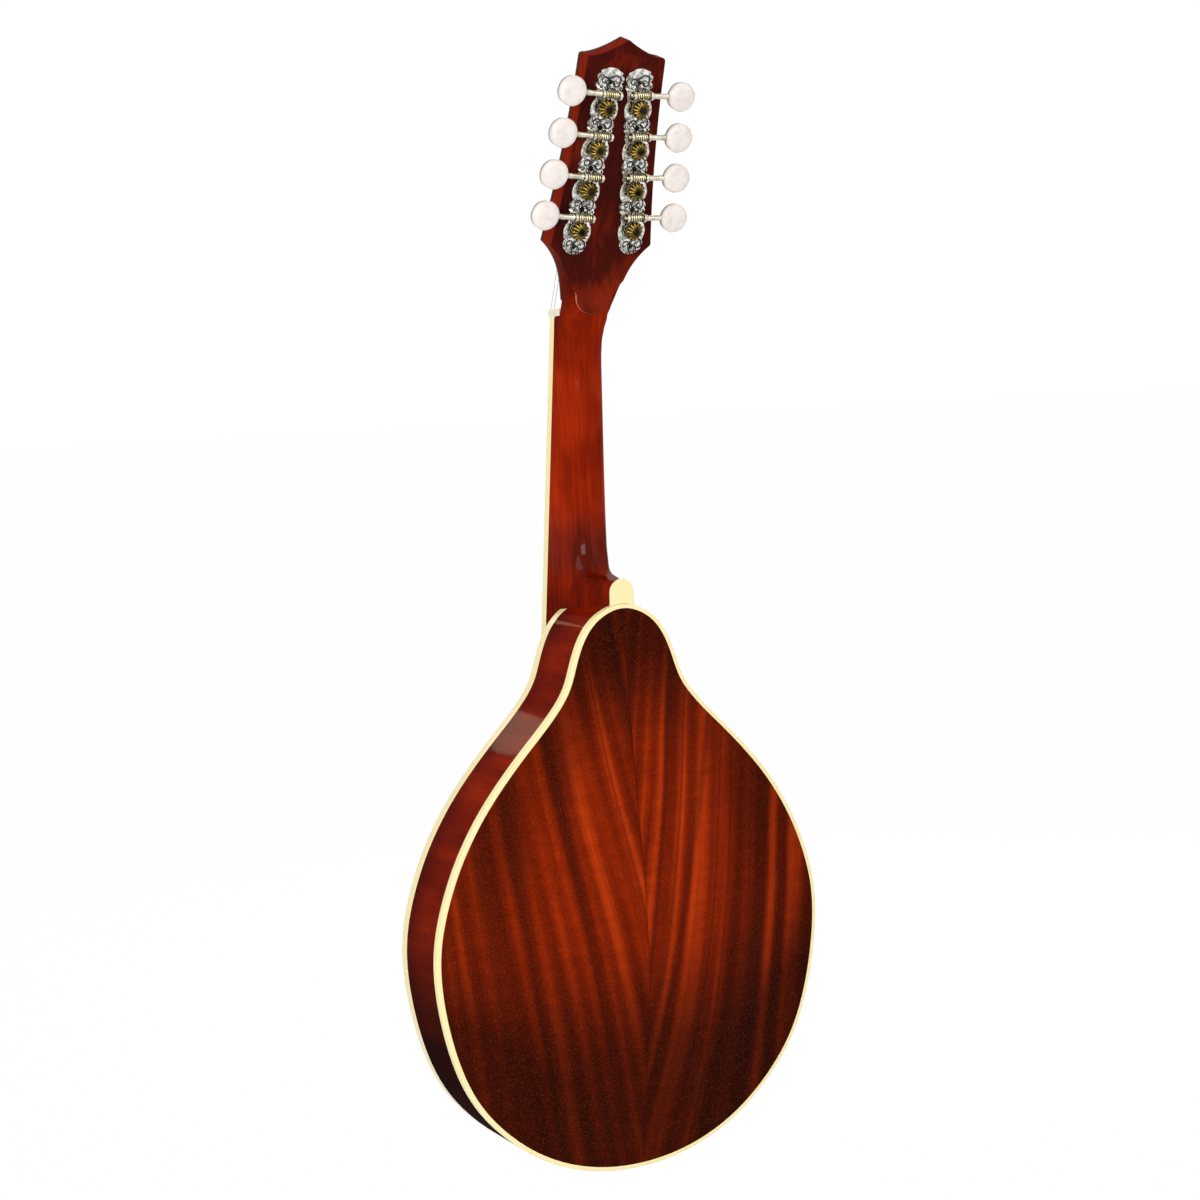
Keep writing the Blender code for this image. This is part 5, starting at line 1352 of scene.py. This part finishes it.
def make_tuner_plates():
    rows = plate_rows()
    low, high = rows[0][0], rows[-1][0]
    right = []
    for i in range(PLATE_STEPS + 1):
        y = low + (high - low) * i / PLATE_STEPS
        right.append((eased(rows, y)[0], y))
    outline = right + [(-x, y) for x, y in right[::-1]]
    plate = slab("plate", outline, lambda x, y: Vector((x, y, GAP / 3)),
                 lambda x, y: Vector((x, y, GAP + PLATE_METAL)), 0.0003, 2, 30)
    mark_map(plate, lambda spot: (spot.x / TUNER_SPACING, spot.y / TUNER_SPACING))
    radius = SHAFT_RADIUS + 0.0016
    foot = GAP + PLATE_METAL / 2 - WORM_HEIGHT
    shape = [(-radius - 0.0006, foot), (-radius, foot + 0.0012)]
    shape += [(-radius * cos(pi * i / 14), radius * sin(pi * i / 14)) for i in range(15)]
    shape += [(radius, foot + 0.0012), (radius + 0.0006, foot)]
    lug = slab("lug", shape, lambda y, z: Vector((0, y, z)), lambda y, z: Vector((LUG_THICKNESS, y, z)),
               0.0003, 2)
    starts = (WORM_LENGTH / 2 + GAP / 2, -WORM_LENGTH / 2 - GAP / 2 - LUG_THICKNESS)
    screw = small_screw()
    heights = [0.0145] + [-0.0112 - TUNER_SPACING * k for k in range(3)] + [-3 * TUNER_SPACING - 0.0098]
    for side, name in ((1, "treble"), (-1, "bass")):
        placed = plate_frame(side)
        finished(copy_of(plate, f"engraved_plate_{name}", placed), ENGRAVED, f"tuner_plate_{name}")
        lugs = [copy_of(lug, "worm_lug", worm_frame(side, index) @ Matrix.Translation((start, 0, 0)))
                for index in range(4) for start in starts]
        finished(joined(f"worm_lugs_{name}", lugs), NICKEL)
        screws = [copy_of(screw, "plate_screw", placed @ Matrix.Translation((0, y, GAP + PLATE_METAL))
                          @ Matrix.Rotation(0.7 * i, 4, "Z")) for i, y in enumerate(heights)]
        finished(joined(f"plate_screws_{name}", screws), DARK_STEEL)
    discard(plate, lug, screw)


def make_tuners():
    make_tuner_plates()

    def tooth(u, v):
        turn = tau * u
        ridge = (0.5 + 0.5 * cos(GEAR_TEETH * turn)) ** 0.7
        rows = ((0.40, 0.0), (0.90, 0.0), (1.0, 0.06), (1.0, 0.40), (0.94, 0.62), (0.84, 0.82), (0.74, 0.98),
                (0.66, 1.10), (0.56, 1.16), (0.40, 1.16))
        share, height = rows[round(v * 9)]
        swell = 1.0 if 0.62 < share else 0.0
        radius = GEAR_RADIUS * share - GEAR_TOOTH * (1 - ridge) * swell
        return Vector((radius * cos(turn), radius * sin(turn), GEAR_HEIGHT + GEAR_THICKNESS * height))

    gear = sheet("gear", GEAR_TEETH * 10, 9, tooth, True, 40)

    # Painted shade: the gaps between the teeth and the gear's inner ring are marked to be darkened.
    def groove(spot):
        between = 0.5 - 0.5 * cos(GEAR_TEETH * atan2(spot.y, spot.x))
        return 0.95 * between ** 1.6 if spot.xy.length > GEAR_RADIUS * 0.60 else 0.5

    mark(gear, "groove", groove)
    face = -HEAD_ROOT_THICKNESS
    tip = face - POST_REACH
    core = turned("core", [(POST_RADIUS * 0.7, tip), (POST_RADIUS * 0.86, tip + 0.0003),
                           (POST_RADIUS, tip + 0.0012), (POST_RADIUS, face - 0.0090),
                           (POST_RADIUS * 0.8, face - 0.0076), (POST_RADIUS * 0.8, face - 0.0056),
                           (POST_RADIUS, face - 0.0042), (POST_RADIUS, GEAR_HEIGHT + 0.0004)], 32)
    collar = turned("collar", [(COLLAR_RADIUS * 1.04, GEAR_HEIGHT + GEAR_THICKNESS * 0.8),
                               (COLLAR_RADIUS, GEAR_HEIGHT + GEAR_THICKNESS + 0.0002),
                               (COLLAR_RADIUS, SCREW_HEIGHT - 0.0006),
                               (COLLAR_RADIUS * 0.9, SCREW_HEIGHT - 0.0002),
                               (COLLAR_RADIUS * 0.74, SCREW_HEIGHT - 0.0002),
                               (COLLAR_RADIUS * 0.72, SCREW_HEIGHT - 0.0008)], 32)
    cap = small_screw(COLLAR_RADIUS * 0.66, 0.0011)
    half = WORM_LENGTH / 2

    def thread(u, v):
        turn = tau * u
        end = min(1.0, min(v, 1 - v) * 12)
        ridge = (0.5 + 0.5 * cos(turn - tau * WORM_TURNS * v)) ** 0.7
        radius = WORM_CORE + (WORM_RADIUS - WORM_CORE) * ridge * end
        return Vector((-half + WORM_LENGTH * v, radius * cos(turn), radius * sin(turn)))

    worm = sheet("worm", 24, WORM_ROWS, thread)
    # Painted shade: the roots of the thread are marked to be darkened.
    mark(worm, "groove", lambda spot: smoothstep((0.0018 - hypot(spot.y, spot.z)) / 0.00045))
    outer = half + LUG_THICKNESS + GAP
    stop = BUTTON_OFFSET - BUTTON_RADIUS
    along = Matrix.Rotation(pi / 2, 4, "Y")
    free = stop - outer
    profile = [(0.7, -outer - 0.0012), (1.0, -outer - 0.0009), (1.0, -half), (1.0, outer + 0.0002),
               (1.75, outer + 0.0003), (1.85, outer + 0.0006), (1.75, outer + 0.0010), (1.45, outer + 0.0013),
               (1.4, outer + free * 0.35), (1.5, outer + free * 0.6), (1.65, stop - 0.0022),
               (1.65, stop - 0.0006), (1.3, stop + 0.0004)]
    shaft = moved(turned("shaft", [(SHAFT_RADIUS * wide, height) for wide, height in profile], 24), along)
    thick = BUTTON_THICKNESS / 2
    flank = [(0.30, 1.0), (0.62, 0.985), (0.82, 0.92), (0.93, 0.76), (0.985, 0.5), (1.0, 0.2)]
    flank = [(wide, -height) for wide, height in flank] + flank[::-1]
    button = turned("button", [(BUTTON_RADIUS * wide, thick * height) for wide, height in flank], 48, 60)
    # Marks the outer flank on the half nearer the headstock for the painted grey shade line.
    mark(button, "rim", lambda spot: smoothstep((0.05 - spot.z / thick) / 0.3)
         * smoothstep((spot.xy.length / BUTTON_RADIUS - 0.88) / 0.04))
    bushing = turned("bushing", [(0.0046, -0.0006), (0.0046, 0.0006), (0.0042, 0.0010), (0.0034, 0.0010),
                                 (0.0033, 0.0002)], 32)
    for side, word in ((1, "treble"), (-1, "bass")):
        for index in range(4):
            label = f"{word}_{index + 1}"
            on_post, on_worm = f"post_{label}", f"worm_{label}"
            post, placed = post_frame(side, index), worm_frame(side, index)
            turn = Matrix.Rotation(0.4 + 1.1 * index + side, 4, "Z")
            screw_seat = post @ Matrix.Translation((0, 0, SCREW_HEIGHT - 0.0007)) @ turn
            knob_seat = placed @ Matrix.Translation((BUTTON_OFFSET, 0, 0))
            rise = tuner_place(side, index)[1]
            front = post @ Matrix.Translation((0, 0, -head_thickness(rise))) @ OVER
            parts = ((gear, f"gear_{label}", post, BRASS, on_post, f"string_post_{label}"),
                     (core, f"post_{label}_shaft", post, NICKEL, on_post),
                     (collar, f"gear_collar_{label}", post, SHADED_BRASS, on_post),
                     (cap, f"gear_screw_{label}", screw_seat, DARK_STEEL, on_post),
                     (worm, f"worm_{label}_thread", placed, WORM_METAL, on_worm),
                     (shaft, f"shaft_{label}", placed, NICKEL, on_worm, f"worm_shaft_{label}"),
                     (button, f"knob_{label}", knob_seat, PEARL, on_worm, f"button_{label}"),
                     (bushing, f"bushing_{label}", front, NICKEL, "root"))
            for model, name, matrix, look, body, *nodes in parts:
                finished(copy_of(model, name, matrix), look, *nodes, body=body)
            make_coil(label, post, 3 - index if side < 0 else 4 + index, side)
    discard(gear, core, collar, cap, worm, shaft, button, bushing)


def make_coil(label, post, index, side):
    """The string's turns round its post."""
    radius = STRING_RADII[index]
    reach = POST_RADIUS * 0.86 + radius
    start = -HEAD_ROOT_THICKNESS - POST_REACH * STRING_ON_POST + 0.0012
    path = []
    for i in range(COIL_STEPS + 1):
        turn = pi / 2 * side + tau * COIL_TURNS * i / COIL_STEPS * side
        height = start - 2.1 * radius * COIL_TURNS * i / COIL_STEPS
        path.append(Vector((reach * cos(turn), reach * sin(turn), height)))
    coil = moved(tube(f"coil_{label}", path, radius, 8), post)
    finished(coil, wire_look(index), body=f"post_{label}")


def mark(piece, name, rule):
    """An attribute whose value at each point is given by a rule of its place."""
    layer = piece.data.attributes.new(name, "FLOAT", "POINT")
    for vertex in piece.data.vertices:
        layer.data[vertex.index].value = rule(vertex.co)


def make_stage():
    floor = primitive("studio_floor", bpy.ops.mesh.primitive_plane_add, size=60,
                      location=(0, 0, TAIL_Z - FLOOR_BELOW_TAIL))
    f = Finish("pale_floor")
    place = f.place()[3]
    tone = f.mix(f.noise(place, 3.0, 2.0), (0.80, 0.80, 0.80), (0.84, 0.84, 0.84))
    shade = f.node("ShaderNodeBsdfDiffuse", None, {"Color": tone})
    glow = f.node("ShaderNodeEmission", None, {"Color": WHITE, "Strength": 1.0})
    mixed = f.node("ShaderNodeMixShader", None, {0: f.seen() * FLOOR_GLOW, 1: shade, 2: glow})
    floor.data.materials.append(f.ended(mixed))

    w = Finish("studio", world=True)
    light = w.node("ShaderNodeBackground", None, {"Color": WHITE, "Strength": WORLD_LIGHT})
    backdrop = w.node("ShaderNodeBackground", None, {"Color": WHITE, "Strength": 1.0})
    mixed = w.node("ShaderNodeMixShader", None, {0: w.seen(), 1: light, 2: backdrop})
    bpy.context.scene.world = w.ended(mixed)


def soft_light(name, place, target, size, power, tint=WHITE):
    data = bpy.data.lights.new(name, "AREA")
    data.shape = "RECTANGLE"
    data.size, data.size_y = size
    data.energy = power
    data.color = tint
    lamp = bpy.data.objects.new(name, data)
    bpy.context.scene.collection.objects.link(lamp)
    lamp.location = place
    lamp.rotation_euler = (Vector(target) - Vector(place)).to_track_quat("-Z", "Y").to_euler()


def make_lights():
    soft_light("key", (1.7, 0.9, 0.7), (0, 0, -0.3), (1.0, 1.0), 15.0)
    soft_light("fill", (-1.2, 1.6, 0.4), (0, 0, -0.3), (1.4, 1.4), 5.0)
    soft_light("pane", (0.91, 1.76, 0.06), (0, 0, -0.2), (0.70, 0.46), 13.0, (1.0, 0.97, 0.95))
    soft_light("front", (-1.3, -1.5, 0.3), (0, 0, -0.3), (1.4, 1.4), 18.0)
    soft_light("window", (0.36, -1.76, 0.68), (0.06, 0, -0.26), (0.13, 0.13), 1.1, (1.0, 0.66, 0.46))


def make_camera():
    data = bpy.data.cameras.new("photo_camera")
    data.lens = CAMERA_LENS
    data.sensor_width = SENSOR_WIDTH
    data.clip_start, data.clip_end = 0.01, 50.0
    camera = bpy.data.objects.new("photo_camera", data)
    bpy.context.scene.collection.objects.link(camera)
    camera.matrix_world = (Matrix.Translation(CAMERA_PLACE) @ Matrix.Rotation(CAMERA_AZIMUTH, 4, "Z")
                           @ Matrix.Rotation(pi / 2 - CAMERA_ELEVATION, 4, "X")
                           @ Matrix.Rotation(CAMERA_ROLL, 4, "Z"))
    bpy.context.scene.camera = camera


make_back()
make_top()
make_sides()
make_neck()
make_neck_fittings()
make_fingerboard()
make_bridge()
make_tailpiece()
make_tuners()
make_strings()
dressed(BARE, "back_lining", "top_lining", "neck_block", "tail_block", "cross_brace")
dressed(CREAM, "fingerboard_binding")
dressed(STEEL, "truss_rod")
make_stage()
make_lights()
make_camera()
bpy.context.scene.view_settings.view_transform = "Standard"
